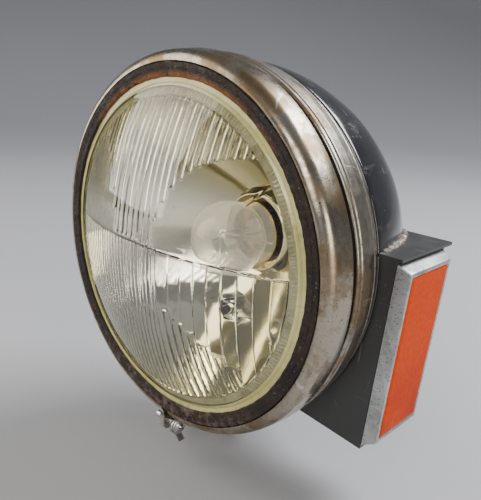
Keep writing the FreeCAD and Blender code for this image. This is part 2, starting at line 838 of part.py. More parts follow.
def frustum(name, length, width, height, top_slope, foot_slope, back_slope, front_slope=0.3):
    """Block with leaning sides, drawn with its length along X, its width along Y and its height along Z."""
    body = new_body(name)
    base = new_sketch(body, name + "_base", "XY_Plane")
    outline(base, [(0, 0), (length, 0), (length, width), (0, width)])
    face = new_sketch(body, name + "_face", "XY_Plane")
    outline(face, [(top_slope, front_slope), (length - foot_slope, front_slope),
                   (length - foot_slope, width - back_slope), (top_slope, width - back_slope)])
    bind(face, "AttachmentOffset.Base.z", height)
    loft = body.newObject("PartDesign::AdditiveLoft", name + "_loft")
    loft.Profile = base
    loft.Sections = [face]
    loft.Ruled = True
    doc.recompute()
    return body


def make_amber():
    length, width, height = S["bezel_length"], S["bezel_width"], S["bezel_height"]
    top_slope, foot_slope, back_slope = S["bezel_top_slope"], S["bezel_foot_slope"], S["bezel_back_slope"]
    bezel = frustum("amber_bezel", length, width, height, top_slope, foot_slope, back_slope)
    margin_x = (length - top_slope - foot_slope - S["window_length"]) / 2 + top_slope
    margin_y = (width - back_slope - S["window_width"]) / 2 + 0.15
    window = rectangle(margin_x, margin_y, margin_x + S["window_length"], margin_y + S["window_width"])
    cut_through(bezel, "window", "XY_Plane", window, height - 4.2, 10, 1)
    inner = rectangle(margin_x + 3, margin_y + 3, margin_x + S["window_length"] - 3,
                      margin_y + S["window_width"] - 3)
    cut_through(bezel, "back_hollow", "XY_Plane", inner, -1, 2.4, 1)
    for number, (along, across) in enumerate(bezel_studs):
        raised(bezel, f"bezel_stud_{number}", "XY_Plane", disc(along, across, 2), -10, 12)
    keep_on_panel(bezel, "amber_bezel")

    gap = S["amber_gap"]
    lens_x, lens_y = margin_x + gap, margin_y + gap
    lens_length, lens_width = S["window_length"] - gap * 2, S["window_width"] - gap * 2
    plate = new_body("amber_backplate")
    raised(plate, "plate", "XY_Plane", rectangle(lens_x, lens_y, lens_x + lens_length, lens_y + lens_width),
           height - 4.15, 0.5)
    keep_on_panel(plate, "amber_backplate")
    lens = frustum("amber_lens", lens_length, lens_width, 4.0, size(0.9), size(0.9), size(0.9), 0.9)
    along, across, out = lens_x.number, lens_y.number, height.number - 3.6
    keep_on_panel(lens, "amber_lens", along, across, out)

    for number, (along, across) in enumerate(bezel_studs, start=1):
        washer = new_body(f"bezel_washer_{number}")
        raised(washer, f"washer_{number}", "XY_Plane", disc(0, 0, 5), 0, 0.8)
        cut_through(washer, f"washer_hole_{number}", "XY_Plane", disc(0, 0, 2.1), -1, 3)
        keep_on_panel(washer, f"bezel_washer_{number}", along, across, -S["pod_sheet"].number - 1.25)
        nut = new_body(f"bezel_nut_{number}")
        raised(nut, f"nut_{number}", "XY_Plane", hexagon(3.5), 0, 3.2)
        cut_through(nut, f"nut_thread_{number}", "XY_Plane", disc(0, 0, 2.05), -1, 6)
        keep_on_panel(nut, f"bezel_nut_{number}", along, across, -S["pod_sheet"].number - 4.5)


def hexagon(half_width):
    """Six corners whose flats are half_width from the middle."""
    reach = half_width / math.cos(math.radians(30))
    corners = [(reach * math.cos(math.radians(60 * step)), reach * math.sin(math.radians(60 * step)))
               for step in range(6)]
    return lambda sketch: outline(sketch, corners)


# ---- aiming mount: the stud stands on the seat; the bowl's cup tilts and turns about one ball centre
def make_mount():
    centre, cup, gap = S["ball_height"], S["cup_radius"], S["seat_gap"]
    bore = S["stud_radius"] + S["stud_fit"]
    seat_ball = cup + gap
    rim = size(13)
    foot = turned("swivel_foot", [
        (bore, 0),
        (S["foot_radius"], 0),
        (S["foot_radius"], 3),
        (rim + 0.6, 4.5),
        (rim, sphere_height(rim, seat_ball, centre), -seat_ball),
        (bore, sphere_height(bore, seat_ball, centre)),
    ], role="XZ_Plane")
    keep_on_seat(foot, "swivel_foot")

    washer_ball = cup - S["cup_sheet"] - gap
    brim = size(11)
    washer_top = centre - 6.4
    washer = turned("dome_washer", [
        (bore, sphere_height(bore, washer_ball, centre), washer_ball),
        (brim, sphere_height(brim, washer_ball, centre)),
        (brim, washer_top),
        (bore, washer_top),
    ], role="XZ_Plane")
    keep_on_seat(washer, "dome_washer")

    spring = turned("spring_washer", [
        (bore, washer_top + 0.05),
        (9, washer_top + 0.05),
        (9, washer_top + 2.2),
        (bore, washer_top + 2.2),
    ], role="XZ_Plane")
    cut_through(spring, "spring_slit", "XY_Plane", rectangle(3, -0.6, 12, 0.6), 10, 20)
    keep_on_seat(spring, "spring_washer")

    nut = new_body("stud_nut")
    raised(nut, "nut_block", "XY_Plane", hexagon(8.5), washer_top + 2.25, 8)
    cut_through(nut, "nut_bore", "XY_Plane", disc(0, 0, bore), 0, 60)
    keep_on_seat(nut, "stud_nut")

    neck = size(1)  # thread relief below the foot's seat
    stud = turned("mounting_stud", [
        (0, -S["stud_free"]),
        (S["stud_radius"] - 1, -S["stud_free"]),
        (S["stud_radius"], 1 - S["stud_free"]),
        (S["stud_radius"], -neck),
        (S["stud_radius"] - 0.4, -neck),
        (S["stud_radius"] - 0.4, 0.5),
        (S["stud_radius"], 0.5),
        (S["stud_radius"], washer_top + 12),
        (S["stud_radius"] - 1, washer_top + 13),
        (0, washer_top + 13),
    ], role="XZ_Plane")
    keep_on_seat(stud, "mounting_stud")

    seat_y = -S["lamp_forward"]
    ball_z = centre - S["lamp_height"]
    shell = turned("cup_shell", [
        (0, ball_z - cup, cup),
        (cup, ball_z),
        (cup, ball_z + 20),
        (cup - S["cup_sheet"], ball_z + 20),
        (cup - S["cup_sheet"], ball_z, -(cup - S["cup_sheet"])),
        (0, ball_z - cup + S["cup_sheet"]),
    ], role="XZ_Plane")
    slot_half = S["stud_radius"] + 3.4
    cut_through(shell, "tilt_slot", "XY_Plane",
                rectangle(-S["stud_radius"] - 0.7, -slot_half, S["stud_radius"] + 0.7, slot_half), -120, 25)
    bind(shell, "Placement.Base.y", seat_y)
    below = doc.addObject("Part::Cut", "cup_below")
    below.Base = shell
    below.Tool = envelope("cup_limit", -(S["wall"].number + 1.6))
    plate_blank = doc.addObject("Part::Cylinder", "cup_plate_blank")
    bind(plate_blank, "Radius", cup + 8)
    bind(plate_blank, "Height", 40)
    bind(plate_blank, "Placement.Base.y", seat_y)
    bind(plate_blank, "Placement.Base.z", -110)
    plate_outer = doc.addObject("Part::Common", "cup_plate_outer")
    plate_outer.Base = plate_blank
    plate_outer.Tool = envelope("plate_limit", -(S["wall"].number + 0.1))
    plate = doc.addObject("Part::Cut", "cup_plate")
    plate.Base = plate_outer
    plate.Tool = envelope("plate_core", -(S["wall"].number + 1.6))
    opening = doc.addObject("Part::Cylinder", "cup_plate_opening")
    bind(opening, "Radius", cup - 0.3)
    bind(opening, "Height", 60)
    bind(opening, "Placement.Base.y", seat_y)
    bind(opening, "Placement.Base.z", -120)
    ring = doc.addObject("Part::Cut", "cup_ring")
    ring.Base = plate
    ring.Tool = opening
    joined = doc.addObject("Part::Fuse", "swivel_cup")
    joined.Base = below
    joined.Tool = ring
    keep(joined, "swivel_cup")


for make in (make_bowl, make_band, make_band_seal, make_rim, make_clamp, make_glass, make_seals,
             make_reflector, make_collar, make_clips, make_bulb, make_holder, make_pilot, make_grommet,
             make_pod, make_amber, make_mount):
    make()

doc.recompute()
for thing in doc.Objects:
    if "Invalid" in thing.State or "Error" in thing.State:
        raise SystemExit(f"{thing.Name} failed: {thing.State}")
for name, thing in nodes:
    if thing.Shape.isNull() or not thing.Shape.isValid():
        raise SystemExit(f"{name} has no valid shape")

os.makedirs("parts", exist_ok=True)
for name, thing in nodes:
    thing.Shape.exportStep(f"parts/{name}.step")
    print(f"{name}: {thing.Shape.Volume:.0f} mm3")
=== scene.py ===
import math

import bmesh
import bpy
import numpy as np
from mathutils import Matrix, Vector


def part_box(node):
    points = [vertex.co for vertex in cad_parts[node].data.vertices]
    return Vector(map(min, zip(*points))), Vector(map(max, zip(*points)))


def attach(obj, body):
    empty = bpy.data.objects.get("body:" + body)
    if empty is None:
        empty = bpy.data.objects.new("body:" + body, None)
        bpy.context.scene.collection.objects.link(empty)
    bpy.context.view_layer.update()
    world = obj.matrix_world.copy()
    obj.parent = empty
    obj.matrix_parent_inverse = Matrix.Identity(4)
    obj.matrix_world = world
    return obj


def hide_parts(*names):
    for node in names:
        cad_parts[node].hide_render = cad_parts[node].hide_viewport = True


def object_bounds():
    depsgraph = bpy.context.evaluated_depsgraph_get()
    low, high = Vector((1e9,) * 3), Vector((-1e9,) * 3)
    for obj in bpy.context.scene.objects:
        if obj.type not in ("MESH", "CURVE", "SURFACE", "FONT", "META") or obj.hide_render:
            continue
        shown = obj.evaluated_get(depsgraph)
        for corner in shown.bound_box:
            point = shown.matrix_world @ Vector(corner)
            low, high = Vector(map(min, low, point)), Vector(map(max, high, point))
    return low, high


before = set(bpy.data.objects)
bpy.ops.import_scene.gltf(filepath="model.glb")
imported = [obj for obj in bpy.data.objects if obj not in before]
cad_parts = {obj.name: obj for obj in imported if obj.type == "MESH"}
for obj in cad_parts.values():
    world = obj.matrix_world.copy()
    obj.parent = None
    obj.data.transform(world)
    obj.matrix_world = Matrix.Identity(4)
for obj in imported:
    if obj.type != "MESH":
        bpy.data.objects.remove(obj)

print("frame loaded:", len(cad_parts), "nodes")
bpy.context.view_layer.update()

mm = 0.001
lensLow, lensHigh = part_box("headlamp_lens")
domeHeight = 21.4
# the lamp's own axis, in the plane of the glass rim; every round piece is drawn about it in millimetres
lampCentre = np.array([(lensLow.x + lensHigh.x) / 2, lensLow.y + domeHeight * mm,
                       (lensLow.z + lensHigh.z) / 2])


# mesh helpers

def toFrame(points):
    # lamp millimetres to frame metres
    return lampCentre + np.asarray(points, float) * mm


def newObject(name, data):
    made = bpy.data.objects.new(name, data)
    bpy.context.scene.collection.objects.link(made)
    return made


def meshFrom(name, points, faces, sharp=40, slots=None):
    # one object from an array of points and an array (or list of arrays) of faces
    mesh = bpy.data.meshes.new(name)
    groups = faces if isinstance(faces, list) else [faces]
    faceLists = [row for group in groups for row in group.tolist()]
    mesh.from_pydata(np.asarray(points).tolist(), [], faceLists)
    mesh.polygons.foreach_set("use_smooth", np.ones(len(mesh.polygons), bool))
    if slots is not None:
        mesh.polygons.foreach_set("material_index", np.asarray(slots, np.int32))
    mesh.set_sharp_from_angle(angle=math.radians(sharp))
    return newObject(name, mesh)


def faceOut(piece, weld=False):
    # turns every face of a closed mesh outward; weld first joins the points that meet on the axis
    work = bmesh.new()
    work.from_mesh(piece.data)
    if weld:
        bmesh.ops.remove_doubles(work, verts=work.verts, dist=1e-7)
        bmesh.ops.dissolve_degenerate(work, edges=work.edges, dist=1e-7)
    bmesh.ops.recalc_face_normals(work, faces=work.faces)
    work.to_mesh(piece.data)
    work.free()
    piece.data.update()
    return piece


def gridFaces(rows, columns, closeRows=False, closeColumns=False):
    # quads between neighbours of a rows x columns grid of points
    i = np.arange(rows if closeRows else rows - 1)
    j = np.arange(columns if closeColumns else columns - 1)
    i, j = np.meshgrid(i, j, indexing="ij")
    nextI, nextJ = (i + 1) % rows, (j + 1) % columns
    quads = [i * columns + j, nextI * columns + j, nextI * columns + nextJ, i * columns + nextJ]
    return np.stack(quads, -1).reshape(-1, 4)


def gridBorder(rows, columns):
    # the points round the edge of such a grid, in order
    index = np.arange(rows * columns).reshape(rows, columns)
    return np.concatenate([index[0, :-1], index[:-1, -1], index[-1, :0:-1], index[:0:-1, 0]])


def arcPoints(centre, radius, fromDeg, toDeg, steps):
    angle = np.radians(np.linspace(fromDeg, toDeg, steps))
    return np.stack([centre[0] + radius * np.cos(angle), centre[1] + radius * np.sin(angle)], -1)


def rounded(corners, steps=5, closed=True):
    # outline through corners (x, y, radius): each corner is cut by an arc of its radius
    made = []
    count = len(corners)
    for index, (x, y, radius) in enumerate(corners):
        here = np.array([x, y], float)
        before = np.array(corners[index - 1][:2], float)
        after = np.array(corners[(index + 1) % count][:2], float)
        if radius <= 0 or (not closed and index in (0, count - 1)):
            made.append(here[None])
            continue
        back, on = before - here, after - here
        backLength, onLength = np.linalg.norm(back), np.linalg.norm(on)
        back, on = back / backLength, on / onLength
        half = math.acos(max(-1, min(1, float(back @ on)))) / 2
        reach = min(radius / math.tan(half), backLength * 0.48, onLength * 0.48)
        share = np.linspace(0, 1, steps)[:, None]
        first, last = here + back * reach, here + on * reach
        made.append((1 - share) ** 2 * first + 2 * share * (1 - share) * here + share ** 2 * last)
    return np.concatenate(made)


def sheetOutline(path, thickness, capSteps=5):
    # closed outline of a sheet: the path moved to both sides along its normals, with half-round edges
    path = np.asarray(path, float)
    along = np.gradient(path, axis=0)
    along /= np.linalg.norm(along, axis=1)[:, None]
    side = np.stack([-along[:, 1], along[:, 0]], -1) * thickness / 2
    turn = np.linspace(0, math.pi, capSteps)[1:-1, None]
    endCap = path[-1] + side[-1] * np.cos(turn) + along[-1] * np.sin(turn) * thickness / 2
    startCap = path[0] - side[0] * np.cos(turn) - along[0] * np.sin(turn) * thickness / 2
    return np.concatenate([path + side, endCap, (path - side)[::-1], startCap])


def densify(outline, step, closed=True):
    # adds points along long stretches of an outline, at most step apart
    ends = np.roll(outline, -1, axis=0)
    made = []
    for a, b in zip(outline, ends) if closed else zip(outline[:-1], outline[1:]):
        count = max(1, int(math.ceil(np.linalg.norm(b - a) / step)))
        made.append(a + (b - a) * np.linspace(0, 1, count, endpoint=False)[:, None])
    if not closed:
        made.append(outline[-1:])
    return np.concatenate(made)


def turnedPiece(name, outline, steps=256, span=None, ripple=None, sharp=40):
    # an outline of (radius, depth) carried round the lamp's axis; span limits it to part of a turn,
    # and ripple(radius, depth, angle) may move its points: returns (radius, depth)
    outline = np.asarray(outline, float)
    whole = span is None
    low, high = (0.0, 2 * math.pi) if whole else span
    angle = np.linspace(low, high, steps, endpoint=not whole)[:, None]
    radius = np.broadcast_to(outline[None, :, 0], (steps, len(outline)))
    depth = np.broadcast_to(outline[None, :, 1], (steps, len(outline)))
    if ripple is not None:
        radius, depth = ripple(radius, depth, angle)
    points = np.stack([radius * np.sin(angle), depth + 0 * angle, radius * np.cos(angle)], -1)
    faces = [gridFaces(steps, len(outline), closeRows=whole, closeColumns=True)]
    if not whole:
        cap = np.arange(len(outline))
        faces += [cap[None, ::-1], cap[None] + (steps - 1) * len(outline)]
    return faceOut(meshFrom(name, toFrame(points.reshape(-1, 3)), faces, sharp), True)


def thickSheet(name, surface, thickness):
    # closed shell round a grid of lamp points (rows, columns, 3): both faces and the four walls
    rows, columns = surface.shape[:2]
    alongRows = np.gradient(surface, axis=0)
    alongColumns = np.gradient(surface, axis=1)
    normal = np.cross(alongRows, alongColumns)
    normal /= np.linalg.norm(normal, axis=-1)[..., None]
    both = np.concatenate([(surface + normal * thickness / 2).reshape(-1, 3),
                           (surface - normal * thickness / 2).reshape(-1, 3)])
    count = rows * columns
    top = gridFaces(rows, columns)
    edge = gridBorder(rows, columns)
    following = np.roll(edge, -1)
    walls = np.stack([edge, following, following + count, edge + count], -1)
    return faceOut(meshFrom(name, toFrame(both), [top, top[:, ::-1] + count, walls]), True)


def joinPieces(name, pieces):
    # several closed meshes as one object
    work = bmesh.new()
    for piece in pieces:
        work.from_mesh(piece.data)
        bpy.data.objects.remove(piece)
    mesh = bpy.data.meshes.new(name)
    work.to_mesh(mesh)
    work.free()
    return newObject(name, mesh)


def finishPiece(piece, body, material, replaces):
    # material is one, or a list in the order of the mesh's slots
    for each in material if isinstance(material, list) else [material]:
        piece.data.materials.append(each)
    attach(piece, body)
    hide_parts(*replaces)


# node helpers and the effects that materials share

def plug(tree, socket, value):
    # value is another node's socket, or a plain value
    if isinstance(value, bpy.types.NodeSocket):
        tree.links.new(value, socket)
    else:
        socket.default_value = (*value, 1.0) if socket.type == "RGBA" else value


def put(tree, kind, inputs=None, **settings):
    # adds a shader node
    made = tree.nodes.new("ShaderNode" + kind)
    for key, value in settings.items():
        setattr(made, key, value)
    for key, value in (inputs or {}).items():
        plug(tree, made.inputs[key], value)
    return made


def calc(tree, operation, first, second):
    return put(tree, "Math", {0: first, 1: second}, operation=operation).outputs[0]


def times(tree, first, second):
    return calc(tree, "MULTIPLY", first, second)


def span(tree, value, low, high, soft=False):
    # 0 at low and 1 at high, and nothing outside
    kind = "SMOOTHSTEP" if soft else "LINEAR"
    inputs = {"Value": value, "From Min": low, "From Max": high}
    return put(tree, "MapRange", inputs, interpolation_type=kind).outputs["Result"]


def noise(tree, vector, scale, detail, roughness=0.5, distortion=0.0):
    return put(tree, "TexNoise", {"Vector": vector, "Scale": scale, "Detail": detail,
                                  "Roughness": roughness, "Distortion": distortion}).outputs["Fac"]


def clouds(tree, vector, scale, low, high, detail, roughness):
    # soft noise patches, 0 below low and 1 above high
    return span(tree, noise(tree, vector, scale, detail, roughness), low, high, True)


def upPart(tree, vector):
    return put(tree, "SeparateXYZ", {0: vector}).outputs["Z"]


def fromAxis(tree, here, shift=0.0):
    # place from the lamp's centre, and distance from its axis; shift moves that axis to the right
    centre = lampCentre + np.array([shift, 0, 0])
    centred = put(tree, "Mapping", {"Vector": here, "Location": tuple(-centre)}).outputs[0]
    flat = put(tree, "VectorMath", {0: centred, 1: (1, 0, 1)}, operation="MULTIPLY").outputs[0]
    return centred, put(tree, "VectorMath", {0: flat}, operation="LENGTH").outputs["Value"]


def maskGroup(name, **amounts):
    # a node group from a place to one mask; amounts are its other inputs with their defaults
    tree = bpy.data.node_groups.new(name, "ShaderNodeTree")
    tree.interface.new_socket("Vector", in_out="INPUT", socket_type="NodeSocketVector")
    for key, value in amounts.items():
        tree.interface.new_socket(key, in_out="INPUT", socket_type="NodeSocketFloat").default_value = value
    tree.interface.new_socket("Mask", in_out="OUTPUT", socket_type="NodeSocketFloat")
    given = tree.nodes.new("NodeGroupInput").outputs
    return tree, given, tree.nodes.new("NodeGroupOutput").inputs["Mask"]


def blotchGroup():
    # wide patches whose borders finer noise makes ragged
    tree, given, result = maskGroup("Blotches", Scale=40.0, Start=0.45, End=0.6, Ragged=0.5)
    wide = noise(tree, given["Vector"], given["Scale"], 4.0, 0.55, 0.4)
    fine = noise(tree, given["Vector"], times(tree, given["Scale"], 7.0), 5.0, 0.7)
    ragged = times(tree, calc(tree, "ADD", fine, -0.5), given["Ragged"])
    tree.links.new(span(tree, calc(tree, "ADD", wide, ragged), given["Start"], given["End"], True), result)
    return tree


def speckGroup():
    # small round specks; wide noise thins them out in places
    tree, given, result = maskGroup("Specks", Scale=500.0, Size=0.25, Spread=0.5)
    cells = put(tree, "TexVoronoi", {"Vector": given["Vector"], "Scale": given["Scale"]})
    lot = put(tree, "SeparateColor", {0: cells.outputs["Color"]}).outputs[0]
    near = calc(tree, "LESS_THAN", cells.outputs["Distance"], times(tree, lot, given["Size"]))
    zone = calc(tree, "GREATER_THAN", noise(tree, given["Vector"], 35.0, 3.0), given["Spread"])
    tree.links.new(times(tree, near, zone), result)
    return tree


def scratchGroup():
    # thin lines: the borders of stretched cells, turned three ways and broken up by noise
    tree, given, result = maskGroup("Scratches", Scale=60.0, Width=0.02, Amount=0.5)
    total = 0.0
    for turn, stretch in ((0.5, (1.0, 0.12, 0.3)), (2.1, (0.25, 1.0, 0.1)), (4.0, (0.1, 0.3, 1.0))):
        moved = put(tree, "Mapping", {"Vector": given["Vector"], "Scale": stretch,
                                      "Rotation": (turn, turn * 0.7, turn * 1.3)}).outputs[0]
        cells = put(tree, "TexVoronoi", {"Vector": moved, "Scale": given["Scale"]},
                    feature="DISTANCE_TO_EDGE")
        line = calc(tree, "LESS_THAN", cells.outputs["Distance"], given["Width"])
        rest = times(tree, noise(tree, moved, 90.0 + 30 * turn, 2.0), 0.75)
        kept = calc(tree, "LESS_THAN", rest, given["Amount"])
        total = calc(tree, "MAXIMUM", times(tree, line, kept), total)
    tree.links.new(total, result)
    return tree


def dustGroup():
    # dust settles on what faces up, in uneven patches
    tree, given, result = maskGroup("Dust", Amount=0.3)
    lying = span(tree, upPart(tree, put(tree, "NewGeometry").outputs["Normal"]), -0.2, 0.9)
    patches = clouds(tree, given["Vector"], 60.0, 0.3, 0.75, 8.0, 0.7)
    tree.links.new(times(tree, times(tree, lying, patches), given["Amount"]), result)
    return tree


blotches, specks, scratches, dust = blotchGroup(), speckGroup(), scratchGroup(), dustGroup()


def effect(tree, group, *values):
    # one of the groups above, with its inputs in their order
    node = tree.nodes.new("ShaderNodeGroup")
    node.node_tree = group
    for socket, value in zip(node.inputs, values):
        plug(tree, socket, value)
    return node.outputs["Mask"]


def patchy(tree, here, scale, start, end, ragged):
    return effect(tree, blotches, here, scale, start, end, ragged)


def flecked(tree, here, scale, size, spread):
    return effect(tree, specks, here, scale, size, spread)


def scratched(tree, here, scale, width, amount):
    return effect(tree, scratches, here, scale, width, amount)


def dusted(tree, here, amount):
    return effect(tree, dust, here, amount)


def layered(tree, colour, *layers):
    # a colour with others over it, each (mask, share of the mask, colour)
    for mask, share, over in layers:
        shown = mask if share == 1 else times(tree, mask, share)
        colour = put(tree, "Mix", {0: shown, 6: colour, 7: over}, data_type="RGBA").outputs[2]
    return colour


def blended(tree, value, *layers):
    # the same for one value, each layer (mask, value)
    for mask, over in layers:
        value = put(tree, "Mix", {0: mask, 2: value, 3: over}, data_type="FLOAT").outputs[0]
    return value


def bumped(tree, distance, *parts, strength=1.0):
    # normal of a relief that adds up masks, each (mask, height)
    total = 0.0
    for mask, height in parts:
        total = calc(tree, "ADD", total, times(tree, mask, height))
    inputs = {"Height": total, "Distance": distance, "Strength": strength}
    return put(tree, "Bump", inputs).outputs["Normal"]


def newMaterial(name, plain):
    # plain holds the shader's own constants by socket name; here is the place on the object
    material = bpy.data.materials.new(name)
    material.use_nodes = True
    tree = material.node_tree
    feed(tree, plain)
    return material, tree, put(tree, "TexCoord").outputs["Object"]


def feed(tree, sockets):
    for socket, value in sockets.items():
        plug(tree, tree.nodes["Principled BSDF"].inputs[socket], value)


# materials

def wornPlate(name, look):
    # nickel and chrome over steel: clouded, browned in patches, pitted, with long fine wear marks
    material, tree, here = newMaterial(name, {"Metallic": 1.0, "Specular IOR Level": 0.5})
    browning = patchy(tree, here, look["patches"], look["brownFrom"], look["brownFrom"] + 0.16, 0.35)
    pinkish = patchy(tree, here, look["patches"] * 1.7, 0.5, 0.66, 0.3)
    pits = calc(tree, "MAXIMUM", flecked(tree, here, 950.0, look["pitSize"], 0.47),
                flecked(tree, here, 330.0, look["pitSize"] * 0.8, 0.56))
    lines = scratched(tree, here, 55.0, 0.008, 0.27)
    dusty = dusted(tree, here, look["dust"])
    fog = clouds(tree, here, 130.0, 0.3, 0.75, 6.0, 0.65)
    waves = clouds(tree, here, 18.0, 0.2, 0.8, 2.0, 0.4)
    feed(tree, {
        "Base Color": layered(tree, look["clean"], (browning, 1, look["brown"]),
                              (pinkish, 0.45, look["pink"]), (pits, 1, look["dark"]),
                              (lines, 0.35, (0.8, 0.78, 0.72)), (dusty, 1, (0.34, 0.31, 0.27))),
        "Roughness": blended(tree, look["smooth"], (fog, look["rough"]), (browning, look["brownRough"]),
                             (pits, 0.8), (dusty, 0.75)),
        "Metallic": blended(tree, 1.0, (pits, 0.2), (dusty, 0.3)),
        "Normal": bumped(tree, 0.0005, (waves, 1.0), (fog, 0.05), (pits, -0.12), (lines, -0.05),
                         (browning, 0.05))})
    return material


def blackEnamel(name, look):
    # black stoved paint: orange peel, scratches to grey, chips to brown primer
    material, tree, here = newMaterial(name, {"Metallic": 0.0, "Specular IOR Level": 0.5,
                                              "Coat Roughness": look["coatRough"]})
    lines = scratched(tree, here, 38.0, 0.005, look["scratches"])
    fineLines = scratched(tree, here, 120.0, 0.02, look["scratches"] * 0.95)
    worn = patchy(tree, here, 22.0, look["wornFrom"], look["wornFrom"] + 0.12, 0.5)
    scuffs = patchy(tree, here, 70.0, 0.56, 0.7, 0.8)
    chips = flecked(tree, here, 520.0, 0.26, 0.55)
    dusty = dusted(tree, here, look["dust"])
    peel = noise(tree, here, 420.0, 2.0)
    dents = clouds(tree, here, 26.0, 0.2, 0.8, 2.0, 0.4)
    feed(tree, {
        "Base Color": layered(tree, look["paint"], (scuffs, 0.5, look["faded"]),
                              (worn, 0.75, (0.085, 0.06, 0.042)), (fineLines, 0.35, (0.10, 0.097, 0.093)),
                              (lines, 0.45, (0.15, 0.14, 0.13)), (chips, 0.7, (0.12, 0.09, 0.065)),
                              (dusty, 1, (0.22, 0.21, 0.20))),
        "Roughness": blended(tree, look["smooth"], (scuffs, look["rough"]), (worn, 0.55), (lines, 0.6),
                             (dusty, 0.8)),
        "Coat Weight": blended(tree, look["coat"], (worn, 0.0), (dusty, 0.0)),
        "Normal": bumped(tree, 0.0005, (peel, 0.05), (dents, 0.6), (lines, -0.12), (chips, -0.15),
                         (worn, -0.06))})
    return material


def perishedRubber(name, colour, speckColour, speckSize):
    # greyed and gritty, with dirt caught in it
    material, tree, here = newMaterial(name, {"Specular IOR Level": 0.35})
    grey = patchy(tree, here, 60.0, 0.42, 0.7, 0.7)
    flecks = flecked(tree, here, 420.0, speckSize, 0.5)
    dusty = dusted(tree, here, 0.35)
    feed(tree, {
        "Base Color": layered(tree, colour, (grey, 0.5, [part * 2.2 + 0.01 for part in colour]),
                              (flecks, 1, speckColour), (dusty, 0.8, (0.2, 0.185, 0.16))),
        "Roughness": blended(tree, 0.75, (grey, 0.9)),
        "Normal": bumped(tree, 0.0002, (noise(tree, here, 900.0, 4.0), 0.5), (flecks, 0.4))})
    return material


def rustedRing(name):
    # the dark ring round the glass: flaking black-brown, orange rust on its upper inner edge, pale below
    material, tree, here = newMaterial(name, {"Specular IOR Level": 0.35})
    centred, radius = fromAxis(tree, here)
    height = upPart(tree, centred)
    low = span(tree, height, -0.060, -0.090)
    top = span(tree, height, 0.045, 0.080)
    near = span(tree, radius, 0.0868, 0.0840)
    mottle = patchy(tree, here, 110.0, 0.4, 0.66, 0.9)
    flakes = patchy(tree, here, 230.0, 0.5, 0.56, 0.9)
    rusty = patchy(tree, here, 70.0, 0.36, 0.52, 0.6)
    flecks = flecked(tree, here, 620.0, 0.3, 0.46)
    edgeRust = times(tree, rusty, times(tree, near, top))
    feed(tree, {
        "Base Color": layered(tree, (0.007, 0.005, 0.004), (mottle, 1, (0.024, 0.017, 0.013)),
                              (edgeRust, 0.95, (0.34, 0.12, 0.02)), (rusty, 0.25, (0.07, 0.03, 0.014)),
                              (times(tree, flakes, low), 0.6, (0.26, 0.17, 0.14)),
                              (flecks, 0.35, (0.26, 0.22, 0.19))),
        "Roughness": blended(tree, 0.5, (mottle, 0.8)),
        "Normal": bumped(tree, 0.00035, (noise(tree, here, 700.0, 6.0, 0.7), 0.8), (flakes, 0.6),
                         (mottle, 0.4))})
    return material


def agedGlass(name, middle, edge, roughness=0.0, clear=1.0, paintedGlow=0.0):
    # clear glass that yellows toward its rim, and more on its left as seen from the front, because the tint's
    # centre sits right of the axis; paintedGlow adds a painted glow in the middle colour
    material, tree, here = newMaterial(name, {
        "Metallic": 0.0, "Transmission Weight": clear, "IOR": 1.5, "Roughness": roughness,
        "Emission Color": middle, "Emission Strength": paintedGlow})
    outer = span(tree, fromAxis(tree, here, 0.016)[1], 0.035, 0.092, True)
    feed(tree, {"Base Color": layered(tree, middle, (outer, 1, edge))})
    return material


def sealantEdge(name, pale, deep, paintedGlow=0.0):
    # the yellowed bed of the glass, seen through its flange and polished by it; paintedGlow lifts it with a
    # painted glow in its own colour
    material, tree, here = newMaterial(name, {
        "Coat Roughness": 0.06, "Coat Weight": 0.8, "Subsurface Weight": 0.15, "Emission Strength": paintedGlow,
        "Subsurface Radius": (0.002, 0.002, 0.001)})
    cloudy = patchy(tree, here, 45.0, 0.35, 0.65, 0.4)
    dirt = patchy(tree, here, 160.0, 0.55, 0.7, 0.6)
    colour = layered(tree, pale, (cloudy, 1, deep), (dirt, 0.4, (0.28, 0.22, 0.09)))
    feed(tree, {"Base Color": colour, "Emission Color": colour,
                "Roughness": blended(tree, 0.25, (cloudy, 0.45)),
                "Normal": bumped(tree, 0.0001, (cloudy, 1.0))})
    return material


def silvered(name):
    # mirror coating gone slightly milky, with a few dull clouds and spots
    material, tree, here = newMaterial(name, {"Metallic": 1.0})
    dull = patchy(tree, here, 16.0, 0.5, 0.72, 0.4)
    spots = flecked(tree, here, 300.0, 0.18, 0.55)
    feed(tree, {
        "Base Color": layered(tree, (0.95, 0.92, 0.82), (dull, 1, (0.86, 0.81, 0.66)),
                              (spots, 0.5, (0.4, 0.36, 0.28))),
        "Roughness": blended(tree, 0.07, (dull, 0.2)),
        "Normal": bumped(tree, 0.0006, (noise(tree, here, 26.0, 2.0), 1.0), strength=0.5)})
    return material


def plainMetal(name, colour, dark, smooth, rough):
    # plated or bare small metal parts: tarnish, fine marks
    material, tree, here = newMaterial(name, {"Metallic": 1.0})
    tarnish = patchy(tree, here, 150.0, 0.42, 0.7, 0.5)
    lines = scratched(tree, here, 140.0, 0.02, 0.3)
    spots = flecked(tree, here, 1300.0, 0.28, 0.5)
    feed(tree, {
        "Base Color": layered(tree, colour, (tarnish, 1, dark), (spots, 0.6, [part * 0.35 for part in dark]),
                              (lines, 0.3, (0.85, 0.84, 0.8))),
        "Roughness": blended(tree, smooth, (tarnish, rough), (spots, 0.8)),
        "Normal": bumped(tree, 0.00012, (noise(tree, here, 900.0, 3.0), 0.25), (spots, -0.4), (lines, -0.2))})
    return material


